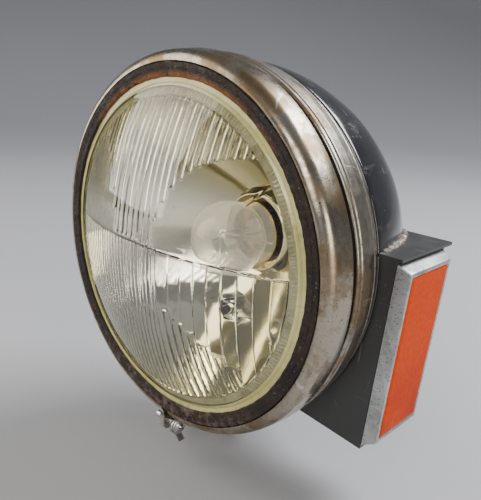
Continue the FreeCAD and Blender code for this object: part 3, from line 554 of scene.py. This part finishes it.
def castBezel(name):
    # die-cast zinc with its plating gone: dull grey, finely pitted, brown along its foot
    material, tree, here = newMaterial(name, {"Metallic": 0.85})
    dull = patchy(tree, here, 45.0, 0.38, 0.68, 0.6)
    brown = patchy(tree, here, 80.0, 0.56, 0.72, 0.9)
    pits = flecked(tree, here, 900.0, 0.4, 0.42)
    lines = scratched(tree, here, 80.0, 0.014, 0.33)
    foot = span(tree, upPart(tree, here), bezelFoot + 0.035, bezelFoot)
    feed(tree, {
        "Base Color": layered(tree, (0.52, 0.53, 0.52), (dull, 1, (0.36, 0.365, 0.36)),
                              (times(tree, brown, foot), 0.8, (0.20, 0.15, 0.09)),
                              (pits, 0.6, (0.12, 0.11, 0.10)), (lines, 0.5, (0.75, 0.75, 0.73))),
        "Roughness": blended(tree, 0.32, (dull, 0.55)),
        "Normal": bumped(tree, 0.00015, (noise(tree, here, 1100.0, 4.0), 0.5), (pits, -0.7), (lines, -0.3))})
    return material


def amberPlastic(name):
    # reflex amber: narrow stripes and prism cells, with painted shade that darkens it in soft patches near
    # the foot, and a faint painted glow in its own colour
    # the emission is a painted glow: the reflex panel holds no lamp
    material, tree, here = newMaterial(name, {
        "Coat Weight": 0.05, "Coat Roughness": 0.08, "Specular IOR Level": 0.04, "IOR": 1.5,
        "Emission Strength": 0.13})
    stripes = put(tree, "TexWave", {"Vector": here, "Scale": 273.0}, bands_direction="Y").outputs["Fac"]
    cells = put(tree, "TexVoronoi", {"Vector": here, "Scale": 620.0}, distance="CHEBYCHEV")
    lot = put(tree, "SeparateColor", {0: cells.outputs["Color"]}).outputs[0]
    # painted shade: soft patches toward the foot darken the amber to a deeper red
    foot = span(tree, upPart(tree, here), bezelFoot + 0.055, bezelFoot)
    shade = times(tree, foot, clouds(tree, here, 30.0, 0.35, 0.65, 4.0, 0.6))
    colour = layered(tree, (0.68, 0.062, 0.0), (lot, 0.3, (0.50, 0.038, 0.0)),
                     (stripes, 0.4, (0.33, 0.019, 0.0)), (shade, 0.7, (0.30, 0.014, 0.0)))
    feed(tree, {"Base Color": colour, "Emission Color": colour,
                "Roughness": blended(tree, 0.3, (lot, 0.45)),
                "Normal": bumped(tree, 0.0002, (cells.outputs["Distance"], 1.0), strength=0.4)})
    return material


def mouldedBlack(name):
    material, tree, here = newMaterial(name, {"Specular IOR Level": 0.5})
    marks = patchy(tree, here, 90.0, 0.45, 0.7, 0.6)
    feed(tree, {"Base Color": layered(tree, (0.022, 0.02, 0.018), (marks, 1, (0.06, 0.05, 0.042))),
                "Roughness": blended(tree, 0.3, (marks, 0.55)),
                "Normal": bumped(tree, 0.00006, (noise(tree, here, 600.0, 3.0), 1.0))})
    return material


def weldedSeam(name):
    # filler and weld beside the bowl: chalky tan, chipped back to grey metal
    material, tree, here = newMaterial(name, {"Specular IOR Level": 0.4})
    bare = patchy(tree, here, 110.0, 0.5, 0.62, 0.8)
    dark = patchy(tree, here, 190.0, 0.52, 0.66, 0.9)
    feed(tree, {
        "Base Color": layered(tree, (0.30, 0.245, 0.19), (bare, 1, (0.50, 0.47, 0.43)),
                              (dark, 0.7, (0.07, 0.06, 0.055))),
        "Roughness": blended(tree, 0.75, (bare, 0.45)),
        "Metallic": times(tree, bare, 0.6),
        "Normal": bumped(tree, 0.0004, (noise(tree, here, 500.0, 5.0), 0.6), (bare, -0.3))})
    return material


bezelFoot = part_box("amber_bezel")[0].z
rimPlate = wornPlate("rimPlate", {
    "clean": (0.40, 0.355, 0.285), "brown": (0.22, 0.155, 0.085), "pink": (0.37, 0.295, 0.215),
    "dark": (0.06, 0.04, 0.025), "patches": 28.0, "brownFrom": 0.44, "pitSize": 0.22, "dust": 0.10,
    "smooth": 0.17, "rough": 0.30, "brownRough": 0.36})
bandPlate = wornPlate("bandPlate", {
    "clean": (0.34, 0.315, 0.27), "brown": (0.19, 0.14, 0.08), "pink": (0.28, 0.22, 0.165),
    "dark": (0.07, 0.05, 0.035), "patches": 34.0, "brownFrom": 0.46, "pitSize": 0.30, "dust": 0.16,
    "smooth": 0.24, "rough": 0.40, "brownRough": 0.46})
bowlEnamel = blackEnamel("bowlEnamel", {
    "paint": (0.010, 0.010, 0.012), "faded": (0.040, 0.041, 0.044), "scratches": 0.28, "wornFrom": 0.62,
    "smooth": 0.16, "rough": 0.34, "coat": 0.8, "coatRough": 0.06, "dust": 0.08})
podEnamel = blackEnamel("podEnamel", {
    "paint": (0.036, 0.036, 0.036), "faded": (0.045, 0.043, 0.041), "scratches": 0.27, "wornFrom": 0.68,
    "smooth": 0.36, "rough": 0.48, "coat": 0.1, "coatRough": 0.3, "dust": 0.12})
gapRubber = perishedRubber("gapRubber", (0.014, 0.013, 0.012), (0.42, 0.38, 0.33), 0.22)
grommetRubber = perishedRubber("grommetRubber", (0.02, 0.02, 0.02), (0.2, 0.19, 0.18), 0.15)
ringRust = rustedRing("ringRust")
lensGlass = agedGlass("lensGlass", (1.0, 0.99, 0.93), (0.92, 0.87, 0.56))
# the bulb is not lit: its small emission is a painted glow that makes the globe look paler
bulbGlass = agedGlass("bulbGlass", (1.0, 0.97, 0.86), (1.0, 0.97, 0.86), 0.04, 0.82, 0.09)
pilotGlass = agedGlass("pilotGlass", (0.98, 0.98, 0.97), (0.98, 0.98, 0.97))
glassEdge = sealantEdge("glassEdge", (0.66, 0.61, 0.24), (0.52, 0.47, 0.16))
# the knurled band sits behind the glass, where little light reaches it: its emission is a painted glow
knurlBed = sealantEdge("knurlBed", (0.88, 0.86, 0.68), (0.74, 0.71, 0.50), 0.03)
mirrorCoat = silvered("mirrorCoat")
zincPlate = plainMetal("zincPlate", (0.62, 0.62, 0.61), (0.38, 0.36, 0.33), 0.25, 0.5)
pressedSteel = plainMetal("pressedSteel", (0.50, 0.49, 0.47), (0.30, 0.27, 0.23), 0.3, 0.5)
bulbBrass = plainMetal("bulbBrass", (0.70, 0.54, 0.26), (0.42, 0.30, 0.14), 0.2, 0.42)
tungsten = plainMetal("tungsten", (0.35, 0.35, 0.37), (0.2, 0.2, 0.21), 0.3, 0.45)
bezelCast = castBezel("bezelCast")
amber = amberPlastic("amber")
foil = plainMetal("foil", (0.7, 0.7, 0.7), (0.5, 0.5, 0.5), 0.25, 0.4)
bakelite = mouldedBlack("bakelite")
seam = weldedSeam("seam")
cupEnamel = blackEnamel("cupEnamel", {
    "paint": (0.015, 0.015, 0.016), "faded": (0.06, 0.06, 0.06), "scratches": 0.36, "wornFrom": 0.58,
    "smooth": 0.35, "rough": 0.5, "coat": 0.2, "coatRough": 0.2, "dust": 0.1})
print("materials made:", len(bpy.data.materials))


# headlight glass

glassLook = {"ball": 165.06, "thick": 3.6, "grid": 74.4, "knurl": 78.2, "half": 378, "rows": 176,
             "divider": 5.6, "ribs": 0.9, "flute": 3.9, "firstFlute": 4, "wedge": 7.2, "middle": 10}


def flutes(x, start, pitch, depth):
    # rounded ribs side by side: depth * (1 - u^2), with u from -1 to 1 across each rib
    phase = (x - start) / pitch
    across = 2 * (phase - np.floor(phase)) - 1
    return depth * (1 - across ** 2)


def ridge(distance, width, height):
    return height * np.exp(-(distance / width) ** 2)


def prismHeight(x, z):
    # millimetres that the pressed pattern stands in from the inner face; x to the right, z up
    flute, first, middle = glassLook["flute"], glassLook["firstFlute"], glassLook["middle"]
    column = first + flute * (np.floor((x - first) / flute) + 0.5)
    stair = 19.4 + 34 * (1 - np.exp(-np.maximum(np.abs(column + 10) - 16, 0) / 12))
    upper = z > glassLook["divider"]
    ribbed = upper & ((z > stair) | ((x > -24) & (x < first) & (z > 8)))
    height = np.where(ribbed, flutes(x, first, flute, 0.78), 0.0)
    height = np.where(upper & ~ribbed & (x < -24), flutes(x, 0, 2.6, 0.05), height)
    # the clear part beside the bulb has only a few thin ridges
    clear = upper & ~ribbed & (x >= first)
    marks = ridge(x - 16.5, 0.35, 0.16) * (z < 9.1) + ridge(x - 27.3, 0.35, 0.16) * (z < 9.1)
    marks += ridge(z - 9.1, 0.45, 0.16) * ((x > 16.5) & (x < 27.3))
    marks += ridge(z - 21, 0.45, 0.16) * ((x > 44) & (x < 66)) + ridge(x - 44, 0.35, 0.14) * (z < 21)
    marks += ridge((z - 34) - 1.1 * (x - 52), 0.6, 0.14) * (z > 34)
    height = np.where(clear, marks, height)
    # lower left: narrow ribs that kink and then spread outward
    drop = np.maximum(-26 + (x + 28) * 0.13 - z, 0)
    height = np.where(~upper & (x < middle), flutes(x / (1 + 0.005 * drop), middle, 2.9, 0.5), height)
    # lower right: wedges side by side, stepped off lower and lower, over spreading ribs
    place = (x - middle) / glassLook["wedge"]
    wedge = np.floor(place)
    step = np.where(wedge > 5, -200.0, -22.5 - 4.0 * wedge)
    fall = np.maximum(step - z, 0)
    spread = flutes(x / (1 + 0.006 * fall), middle, 4.6, 0.7)
    border = glassLook["wedge"] * np.abs(place - np.round(place))
    wedges = 0.2 + 0.5 * (place - wedge) + flutes(x, middle, glassLook["wedge"], 0.12)
    wedges = wedges + ridge(border, 0.25, 0.4) + ridge(z - step - 0.5, 0.5, 0.35)
    height = np.where(~upper & (x >= middle), np.where(z > step, wedges, spread), height)
    return height + ridge(z - glassLook["divider"], 0.7, 0.3)


def domeDepth(radius, ball):
    # y of a sphere's front at a radius from the lamp's axis
    return glassLook["ball"] - domeHeight - np.sqrt(ball ** 2 - radius ** 2)


def makeGlass():
    half, rows, edge = glassLook["half"], glassLook["rows"], glassLook["grid"]
    inner = glassLook["ball"] - glassLook["thick"]
    # inner face: columns at -edge cos(pi i / half), each with rows from its foot to its head
    i = np.arange(1, half)[:, None]
    share = np.linspace(-1, 1, rows)[None, :]
    x = -edge * np.cos(math.pi * i / half) + 0 * share
    z = share * np.sqrt(np.maximum(edge ** 2 - x ** 2, 0))
    radius = np.hypot(x, z)
    fade = np.clip((edge - radius) / 0.9, 0, 1)
    y = domeDepth(radius, inner) + prismHeight(x, z) * fade
    points = [np.stack([x, y, z], -1).reshape(-1, 3)]
    rim = domeDepth(edge, inner)
    points.append(np.array([[-edge, rim, 0], [edge, rim, 0]]))
    left, right = (half - 1) * rows, (half - 1) * rows + 1
    faces = [gridFaces(half - 1, rows)]
    j = np.arange(rows - 1)
    sideFaces = [np.stack([np.full(rows - 1, left), j, j + 1], -1),
                 np.stack([np.full(rows - 1, right), (half - 2) * rows + j + 1, (half - 2) * rows + j], -1)]
    ring = np.concatenate([[left], (np.arange(1, half) - 1) * rows + rows - 1, [right],
                           (np.arange(half - 1, 0, -1) - 1) * rows])
    # rings outward over the knurled band, round the flange and back in over the smooth outer face
    count = 2 * half
    turn = math.pi * np.arange(count) / half - math.pi / 2
    knurl = np.where(np.arange(count) % 3 == 0, 0.0, 1.0) * glassLook["ribs"]
    outline = [(74.9, domeDepth(74.9, inner) + 0.25, 1), (77.7, domeDepth(77.7, inner) + 0.25, 1),
               (glassLook["knurl"], domeDepth(glassLook["knurl"], inner), 0), (79.2, 3.6, 0), (80.0, 4.0, 0),
               (88.6, 4.0, 0), (89.0, 3.6, 0), (89.0, 0.4, 0), (88.6, 0.0, 0), (81.2, 0.0, 0),
               (80.7, -0.5, 0), (79.6, -1.2, 0)]
    outline += [(r, domeDepth(r, glassLook["ball"]), 0) for r in (78.2, 76, 72, 66, 58, 48, 36, 22, 9)]
    rings, start = [ring], (half - 1) * rows + 2
    for r, depth, ribbed in outline:
        points.append(np.stack([r * np.sin(turn), depth + ribbed * knurl, r * np.cos(turn)], -1))
        rings.append(np.arange(count) + start)
        start += count
    bands = [np.stack([a, np.roll(a, -1), np.roll(b, -1), b], -1) for a, b in zip(rings[:-1], rings[1:])]
    points.append(np.array([[0, -domeHeight, 0]]))
    last = rings[-1]
    cap = np.stack([last, np.roll(last, -1), np.full(count, start)], -1)
    knurlBands, flangeBands = 3, 12  # both counted from the innermost; what follows is clear glass
    slots = [0] * (len(faces[0]) + 2 * len(sideFaces[0]))
    for index, band in enumerate(bands):
        slots += [2 if index < knurlBands else 1 if index < flangeBands else 0] * len(band)
    slots += [0] * len(cap)
    return meshFrom("lens_fluted", toFrame(np.concatenate(points)), faces + sideFaces + bands + [cap],
                    sharp=32, slots=slots)


glassSlots = [lensGlass, glassEdge, knurlBed]
finishPiece(faceOut(makeGlass()), "light_unit", glassSlots, ["headlamp_lens"])
print("glass made")


# reflector, bulb and seals

mirrorLook = {"focal": 25.0, "vertex": 69.5, "hole": 22.2, "mouth": 80.0, "edge": 88.8, "sheet": 0.8}


def makeReflector():
    # paraboloid y = vertex - r^2 / (4 focal), with a small roll into its flange
    radius = np.linspace(mirrorLook["hole"], mirrorLook["mouth"], 60)
    depth = mirrorLook["vertex"] - radius ** 2 / (4 * mirrorLook["focal"])
    face = np.stack([radius, depth], -1)
    flange = np.array([[80.5, 5.5], [81.2, 5.45], [mirrorLook["edge"], 5.45]])
    return turnedPiece("reflector_bowl", sheetOutline(np.concatenate([face, flange]), mirrorLook["sheet"]),
                       320, sharp=30)


finishPiece(makeReflector(), "light_unit", mirrorCoat, ["reflector"])

globeLook = {"radius": 20.5, "centre": 40.0, "neck": 17.4, "glass": 0.8}


def makeGlobe():
    # bulb glass: most of a sphere drawn into a short neck, with both its faces
    outline = []
    for side in (0, 1):
        ball = globeLook["radius"] - side * globeLook["glass"]
        neck = globeLook["neck"] - side * globeLook["glass"]
        low = math.degrees(math.acos(neck / ball))
        arc = arcPoints((0, globeLook["centre"]), ball, -90, low, 40)
        face = np.concatenate([arc, [[neck, 57.0], [neck, 61.0]]])
        outline.append(face if side == 0 else face[::-1])
    outline = np.concatenate(outline)
    outline[:, 0] = np.maximum(outline[:, 0], 0)
    return turnedPiece("globe_glass", outline, 160, sharp=50)


finishPiece(makeGlobe(), "main_bulb", bulbGlass, ["bulb_globe"])


def wander(angle, seed, waves, size):
    # slow uneven change round the lamp, a sum of sines with fixed phases
    random = np.random.default_rng(seed)
    total = 0 * angle
    for wave in waves:
        total = total + np.sin(wave * angle + random.uniform(0, 6.3)) * random.uniform(0.4, 1.0)
    return total * size / len(waves)


def makeFrontSeal():
    outline = densify(rounded([(83.3, -0.2, 0), (90.1, -0.2, 0), (90.1, -0.95, 0.3), (87.5, -1.15, 1.2),
                               (84.2, -0.95, 0.7)], 4), 0.8)

    def lumps(radius, depth, angle):
        rough = wander(angle + radius * 0.35, 3, (61, 97, 143, 211), 0.35)
        edge = wander(angle, 5, (7, 19, 43, 88), 0.5)
        inward = (radius < 85.5) * edge
        return radius + inward, np.where(depth < -0.5, depth - 0.25 + rough, depth)
    return turnedPiece("glass_seal", outline, 900, ripple=lumps, sharp=60)


finishPiece(makeFrontSeal(), "light_unit", ringRust, ["front_seal"])


def makeBandSeal():
    corners = [(91.5, 14.0, 0), (92.9, 14.0, 0.7), (92.9, 17.8, 0.5), (91.5, 17.8, 0)]
    outline = densify(rounded(corners, 4), 0.8)

    def lumps(radius, depth, angle):
        return radius + (radius > 92) * wander(angle, 11, (9, 23, 71, 131), 0.35), depth
    return turnedPiece("gap_seal", outline, 480, ripple=lumps, sharp=60)


finishPiece(makeBandSeal(), "bowl", gapRubber, ["band_seal"])


# trim rim with its two ears, and the second band

rimLook = {"sheet": 1.0, "roundCentre": (89.17, 5.74), "round": 6.55, "skirt": (96.5, 13.1), "outer": 97.0,
           "split": 0.052, "earSheet": 1.3, "earEnd": -106.5, "earBend": 2.5}


def makeRim():
    arc = arcPoints(rimLook["roundCentre"], rimLook["round"], -72, -5, 22)
    path = np.concatenate([[(91.0, 1.6), (90.9, 0.5)], arc, [(95.95, 7.5), (96.1, 9.0), rimLook["skirt"]]])
    outline = sheetOutline(path, rimLook["sheet"])

    def dents(radius, depth, angle):
        return radius + wander(angle, 21, (3, 5, 8, 13), 0.18), depth + wander(angle, 22, (2, 4, 9, 17), 0.12)
    return turnedPiece("rim_ring", outline, 720, (math.pi + rimLook["split"], 3 * math.pi), dents)


def makeEar(name, plane, side):
    # strap that leaves the rim's skirt, bends and hangs down as an ear; side is the way the rim lies
    reach = rimLook["outer"] + rimLook["earSheet"] / 2
    far = plane + side * 11
    corners = [(far, -math.sqrt(reach ** 2 - far ** 2), 0),
               (plane + side * 5, -math.sqrt(reach ** 2 - 25), 3),
               (plane, -math.sqrt(reach ** 2 - plane ** 2), rimLook["earBend"]),
               (plane, rimLook["earEnd"], 0)]
    path = densify(rounded(corners, 9, False), 0.5, False)
    length = np.concatenate([[0], np.cumsum(np.linalg.norm(np.diff(path, axis=0), axis=1))])
    left = length[-1] - length
    tip = 3 - np.sqrt(np.maximum(9 - np.maximum(3 - left, 0) ** 2, 0))
    bent = np.clip((length - 6) / 5, 0, 1)
    front = 5.2 - 3.7 * bent + tip
    back = 10.5 - tip
    share = np.linspace(0, 1, 14)[None, :]
    y = front[:, None] + (back - front)[:, None] * share
    surface = np.stack([path[:, 0][:, None] + 0 * y, y, path[:, 1][:, None] + 0 * y], -1)
    return thickSheet(name, surface, rimLook["earSheet"])


rimPieces = [makeRim(), makeEar("ear_a", -5.65, -1), makeEar("ear_b", 0.65, 1)]
rim = joinPieces("rim_nickel", rimPieces)
finishPiece(rim, "light_unit", rimPlate, ["trim_rim"])

bandLook = {"sheet": 0.9, "bead": 0.5}


def makeBand():
    # turned-in front, a thin bead, a bowed face, and a groove before the turned-in back
    bead = bandLook["bead"]
    path = rounded([(92.0, 18.55, 0), (95.5, 18.55, 1.0), (95.75, 20.2, 0.6), (95.75 - bead, 20.9, 0.5),
                    (95.85, 21.7, 0.6), (95.6, 27.5, 6), (94.9, 31.6, 3), (94.7 - bead, 32.6, 0.5),
                    (94.6, 33.4, 0.6), (93.9, 35.7, 0.9), (92.0, 35.9, 0)], 5, False)

    def dents(radius, depth, angle):
        return radius + wander(angle, 31, (3, 6, 11, 19), 0.2), depth + wander(angle, 32, (2, 5, 7), 0.15)
    return turnedPiece("second_band", sheetOutline(densify(path, 1.0, False), bandLook["sheet"]), 512,
                       ripple=dents)


finishPiece(makeBand(), "bowl", bandPlate, ["chrome_band"])
print("rim and band made")


# bowl

bowlLook = {"radius": 91.4, "front": 9.0, "shoulder": 37.3, "bead": 2.5, "sheet": 1.2, "mountHole": 16.3,
            "cableHole": 7.0}


def arcBetween(first, last, radius, steps):
    # arc from first to last that bulges away from the lamp's axis and its front
    first, last = np.array(first, float), np.array(last, float)
    chord = last - first
    half = np.linalg.norm(chord) / 2
    inward = np.array([-chord[1], chord[0]]) / (2 * half)
    centre = (first + last) / 2 + inward * math.sqrt(radius ** 2 - half ** 2)
    ends = [math.degrees(math.atan2(*(point - centre)[::-1])) for point in (first, last)]
    return arcPoints(centre, radius, ends[0], ends[1], steps)


def bowlFace(inset):
    radius, shoulder = bowlLook["radius"], bowlLook["shoulder"]
    top = (radius + bowlLook["bead"] - inset, shoulder + 1.9)
    return np.concatenate([
        [(radius - inset, bowlLook["front"]), (radius - inset, shoulder - 0.6),
         (radius - inset + 0.3, shoulder), (top[0] - 0.5, shoulder + 0.35), (top[0] - 0.1, shoulder + 0.8)],
        arcBetween(top, (48.6 - inset * 0.4, 117 - inset * 0.9), 99.8 - inset, 48),
        arcBetween((48.6 - inset * 0.4, 117 - inset * 0.9), (36, 121 - inset), 22.2, 8)[1:],
        [(30, 121 - inset), (15, 121 - inset), (0, 121 - inset)]])


def makeBowl():
    outline = np.concatenate([bowlFace(0), bowlFace(bowlLook["sheet"])[::-1]])

    def dents(radius, depth, angle):
        amount = np.clip((depth - 45) / 20, 0, 1) * np.clip(radius / 40, 0, 1)
        return radius + amount * wander(angle + depth * 0.02, 41, (2, 3, 7, 11), 0.35), depth
    return turnedPiece("bowl_pressing", outline, 320, ripple=dents)


def cutOpening(piece, centre, axis, radius, reach):
    # a round hole through the sheet, from the lamp's centre plane outward along axis
    steps = 96
    turn = np.linspace(0, 2 * math.pi, steps, endpoint=False)
    side = np.roll(axis, 1)
    other = np.cross(axis, side)
    ring = np.asarray(centre, float) + radius * (np.cos(turn)[:, None] * side + np.sin(turn)[:, None] * other)
    points = np.concatenate([ring, ring + reach * np.asarray(axis, float)])
    cap = np.arange(steps)
    faces = [gridFaces(2, steps, closeColumns=True), cap[None, ::-1], cap[None] + steps]
    cutter = faceOut(meshFrom("cutter", toFrame(points), faces))
    cut = piece.modifiers.new("opening", "BOOLEAN")
    cut.operation, cut.solver, cut.object = "DIFFERENCE", "EXACT", cutter
    result = bpy.data.meshes.new_from_object(piece.evaluated_get(bpy.context.evaluated_depsgraph_get()))
    piece.modifiers.clear()
    piece.data = result
    bpy.data.objects.remove(cutter)
    result.set_sharp_from_angle(angle=math.radians(40))
    return piece


bowlPiece = makeBowl()
# the ball of the mount stands in the lower opening, the cable inlet in the rear one
cutOpening(bowlPiece, (0, -lampCentre[1] / mm, 0), (0, 0, -1), bowlLook["mountHole"], 110)
cutOpening(bowlPiece, (-16, 0, -20), (0, 1, 0), bowlLook["cableHole"], 130)
finishPiece(bowlPiece, "bowl", bowlEnamel, ["headlamp_bowl"])


# pod: weld bead, cast bezel and amber reflector

podLook = {"lean": math.radians(3.44), "sideTop": 101.8, "top": 14.5, "front": 38.0, "lidTop": 15.7}


def onPanel(along, across, out):
    # the pod's outer wall: along runs down it, across runs back, out leaves it
    cosine, sine = math.cos(podLook["lean"]), math.sin(podLook["lean"])
    x = podLook["sideTop"] + 0.2 + out * cosine - along * sine
    z = podLook["top"] - 1.6 - out * sine - along * cosine
    return np.stack(np.broadcast_arrays(x, podLook["front"] + 0.2 + across, z), -1)


def makeWeld():
    # lumpy bead where the lid meets the bowl
    face = bowlFace(0)
    order = np.argsort(face[:, 1])
    y = np.linspace(41.5, 83.5, 120)
    radius = np.interp(y, face[order, 1], face[order, 0])
    random = np.random.default_rng(7)
    size = 1.25 + 0.25 * np.sin(y * 1.9) + np.convolve(random.normal(0, 0.5, 128), np.ones(9) / 9, "valid")
    turn = np.linspace(0, 2 * math.pi, 18, endpoint=False)[None, :]
    lump = 1 + 0.14 * np.sin(3 * turn + y[:, None] * 2.3)
    bead = size[:, None] * lump
    x = np.sqrt(radius ** 2 - podLook["lidTop"] ** 2)[:, None] + 0.5 + 1.5 * bead * np.cos(turn)
    z = podLook["lidTop"] - 0.1 + 0.85 * bead * np.sin(turn)
    points = np.stack([x, y[:, None] + 0 * turn, z], -1).reshape(-1, 3)
    cap = np.arange(18)
    faces = [gridFaces(120, 18, closeColumns=True), cap[None, ::-1], cap[None] + 119 * 18]
    return faceOut(meshFrom("weld_bead", toFrame(points), faces, sharp=60))


finishPiece(makeWeld(), "bowl", seam, ["pod_weld"])

bezelLook = {"length": 93.0, "width": 42.4, "height": 7.0, "topSlope": 2.4, "footSlope": 4.6,
             "backSlope": 4.6, "windowLength": 81.6, "windowWidth": 33.6}


def ringOf(low, high, corner, steps=6):
    # rounded rectangle from low to high, as points
    corners = [(low[0], low[1], corner), (high[0], low[1], corner), (high[0], high[1], corner),
               (low[0], high[1], corner)]
    return rounded(corners, steps)


def makeBezel():
    # rings of the frame's section, from its foot up over the face and down into the window
    look = bezelLook
    length, width, height = look["length"], look["width"], look["height"]
    marginX = (length - look["topSlope"] - look["footSlope"] - look["windowLength"]) / 2 + look["topSlope"]
    marginY = (width - look["backSlope"] - look["windowWidth"]) / 2 + 0.15
    rings = []
    for share, out, corner in ((0.0, 0.0, 0.8), (0.05, 0.4, 0.9), (0.92, height - 0.6, 0.9),
                               (1.0, height - 0.15, 0.9), (1.12, height, 0.9)):
        low = (look["topSlope"] * share, 0.3 * share)
        high = (length - look["footSlope"] * share, width - look["backSlope"] * share)
        rings.append((ringOf(low, high, corner), out))
    for inset, out, corner in ((-0.35, height, 0.9), (0.0, height - 0.4, 0.8), (0.0, 2.6, 0.8),
                               (3.2, 2.4, 0.8), (3.2, 0.0, 0.8)):
        low = (marginX + inset, marginY + inset)
        high = (marginX + look["windowLength"] - inset, marginY + look["windowWidth"] - inset)
        rings.append((ringOf(low, high, corner), out))
    count = len(rings[0][0])
    points = np.concatenate([onPanel(ring[:, 0], ring[:, 1], out) for ring, out in rings])
    faces = gridFaces(len(rings), count, closeRows=True, closeColumns=True)
    return faceOut(meshFrom("bezel_frame", toFrame(points), faces, sharp=28)), (marginX, marginY)


bezelPiece, bezelMargin = makeBezel()
finishPiece(bezelPiece, "bowl", bezelCast, ["amber_bezel"])


def makeAmber():
    # moulded block: raised stripes down its face crossed by shallower ones, edges rolled down
    length, width = bezelLook["windowLength"] - 0.5, bezelLook["windowWidth"] - 0.5
    along = np.linspace(0, length, 300)[:, None]
    across = np.linspace(0, width, 176)[None, :]
    edge = np.minimum(np.minimum(along, length - along), np.minimum(across, width - across))
    roll = 0.9 * (1 - np.sqrt(1 - np.clip(1 - edge / 0.9, 0, 1) ** 2))
    stripes = 0.10 * np.abs(np.sin(math.pi * across / 1.15)) + 0.05 * np.abs(np.sin(math.pi * along / 1.5))
    flat = edge > 1.4
    out = 7.3 - roll + np.where(flat, stripes, 0.0)
    down, back = along + bezelMargin[0] + 0.25, across + bezelMargin[1] + 0.25
    top, under = onPanel(down, back, out), onPanel(down, back, 3.4 + 0 * out)
    rows, columns = out.shape
    border = gridBorder(rows, columns)
    following = np.roll(border, -1)
    start = rows * columns
    bottom = np.arange(len(border)) + start
    walls = np.stack([border, following, np.roll(bottom, -1), bottom], -1)
    points = np.concatenate([top.reshape(-1, 3), under.reshape(-1, 3)[border]])
    faces = [gridFaces(rows, columns), walls, bottom[None, ::-1]]
    return faceOut(meshFrom("amber_block", toFrame(points), faces, sharp=35))


finishPiece(makeAmber(), "bowl", amber, ["amber_lens"])
print("pod trim made")


# finishes for the machined nodes that stay as they are

nodeFinish = (
    (podEnamel, "pod_shell"),
    (cupEnamel, "swivel_cup swivel_foot"),
    (zincPlate, "clamp_screw clamp_nut tab_washer bezel_washer_1 bezel_washer_2 bezel_nut_1 bezel_nut_2"),
    (zincPlate, "stud_nut spring_washer dome_washer mounting_stud holder_spring"),
    (pressedSteel, "rim_clips pilot_sleeve pilot_holder"),
    (glassEdge, "lens_gasket"),
    (mirrorCoat, "reflector_collar"),
    (bulbBrass, "bulb_cap bulb_blade_left bulb_blade_top bulb_blade_right pilot_contact"),
    (bulbBrass, "holder_contact_left holder_contact_top holder_contact_right"),
    (tungsten, "main_filament dip_filament filament_supports dip_shield"),
    (bakelite, "bulb_holder bulb_insulator pilot_insulator"),
    (pilotGlass, "pilot_bulb"),
    (foil, "amber_backplate"),
    (grommetRubber, "cable_grommet"),
)


def coverNode(name, material):
    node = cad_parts[name]
    if not node.material_slots:
        node.data.materials.append(material)
    for held in node.material_slots:
        held.material = material


for material, names in nodeFinish:
    for name in names.split():
        coverNode(name, material)
print("nodes finished:", sum(len(names.split()) for material, names in nodeFinish))


# floor, lights and camera

studio = {"floor": (0.50, 0.50, 0.515), "world": (0.80, 0.86, 0.95), "worldStrength": 0.32, "reach": 5.0,
          "sweep": 0.45}


def makeFloor():
    # a round floor whose far edge sweeps up, so that no view meets a horizon
    low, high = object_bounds()
    radius = np.concatenate([[0.02, 0.6, 1.2], np.linspace(1.5, studio["reach"], 24)])[:, None]
    turn = np.linspace(0, 2 * math.pi, 96, endpoint=False)[None, :]
    height = low.z - 0.0006 + studio["sweep"] * np.maximum(radius - 1.3, 0) ** 2
    points = np.stack(np.broadcast_arrays(radius * np.cos(turn), radius * np.sin(turn), height), -1)
    faces = [gridFaces(len(radius), 96, closeColumns=True), np.arange(96)[None]]
    floor = meshFrom("floor", points.reshape(-1, 3), faces)
    material, tree, here = newMaterial("floorPaint", {"Roughness": 0.6})
    tone = clouds(tree, here, 1.4, 0.3, 0.7, 2.0, 0.4)
    shade = [part * 0.96 for part in studio["floor"]]
    feed(tree, {"Base Color": layered(tree, studio["floor"], (tone, 1, shade))})
    floor.data.materials.append(material)


makeFloor()
world = bpy.data.worlds.new("studio")
world.use_nodes = True
world.node_tree.nodes["Background"].inputs["Color"].default_value = (*studio["world"], 1)
world.node_tree.nodes["Background"].inputs["Strength"].default_value = studio["worldStrength"]
bpy.context.scene.world = world


def softLight(name, place, target, size, power, colour):
    light = bpy.data.lights.new(name, "AREA")
    light.shape, light.size, light.size_y = "RECTANGLE", size[0], size[1]
    light.energy, light.color = power, colour
    made = newObject(name, light)
    made.location = place
    made.rotation_euler = (Vector(target) - Vector(place)).to_track_quat("-Z", "Y").to_euler()


softLight("windowLight", (0.35, 0.75, 1.05), (0.02, 0.0, 0.1), (0.9, 0.5), 24, (0.95, 0.97, 1.0))
softLight("leftFill", (-0.85, -0.6, 0.55), (0, 0, 0.1), (0.8, 1.1), 10, (1.0, 0.96, 0.90))
softLight("frontFill", (0.45, -1.1, 0.75), (0, 0, 0.1), (0.5, 0.5), 7, (1.0, 0.98, 0.95))
softLight("rightFill", (1.15, -0.3, 0.32), (0, 0, 0.1), (0.35, 0.6), 4, (1.0, 0.93, 0.82))

shot = {"from": (0.2176, -0.2432, 0.1973), "along": (-0.6468, 0.7036, -0.2943), "roll": math.radians(3.586),
        "lens": 43.2}


def makeCamera():
    camera = newObject("camera", bpy.data.cameras.new("camera"))
    camera.data.lens, camera.data.sensor_width = shot["lens"], 36
    camera.data.clip_start = 0.01
    ahead = Vector(shot["along"]).normalized()
    level = ahead.cross(Vector((0, 0, 1))).normalized()
    upright = level.cross(ahead)
    right = level * math.cos(shot["roll"]) + upright * math.sin(shot["roll"])
    up = right.cross(ahead)
    turn = Matrix((right, up, -ahead)).transposed().to_4x4()
    camera.matrix_world = Matrix.Translation(shot["from"]) @ turn
    bpy.context.scene.camera = camera


makeCamera()
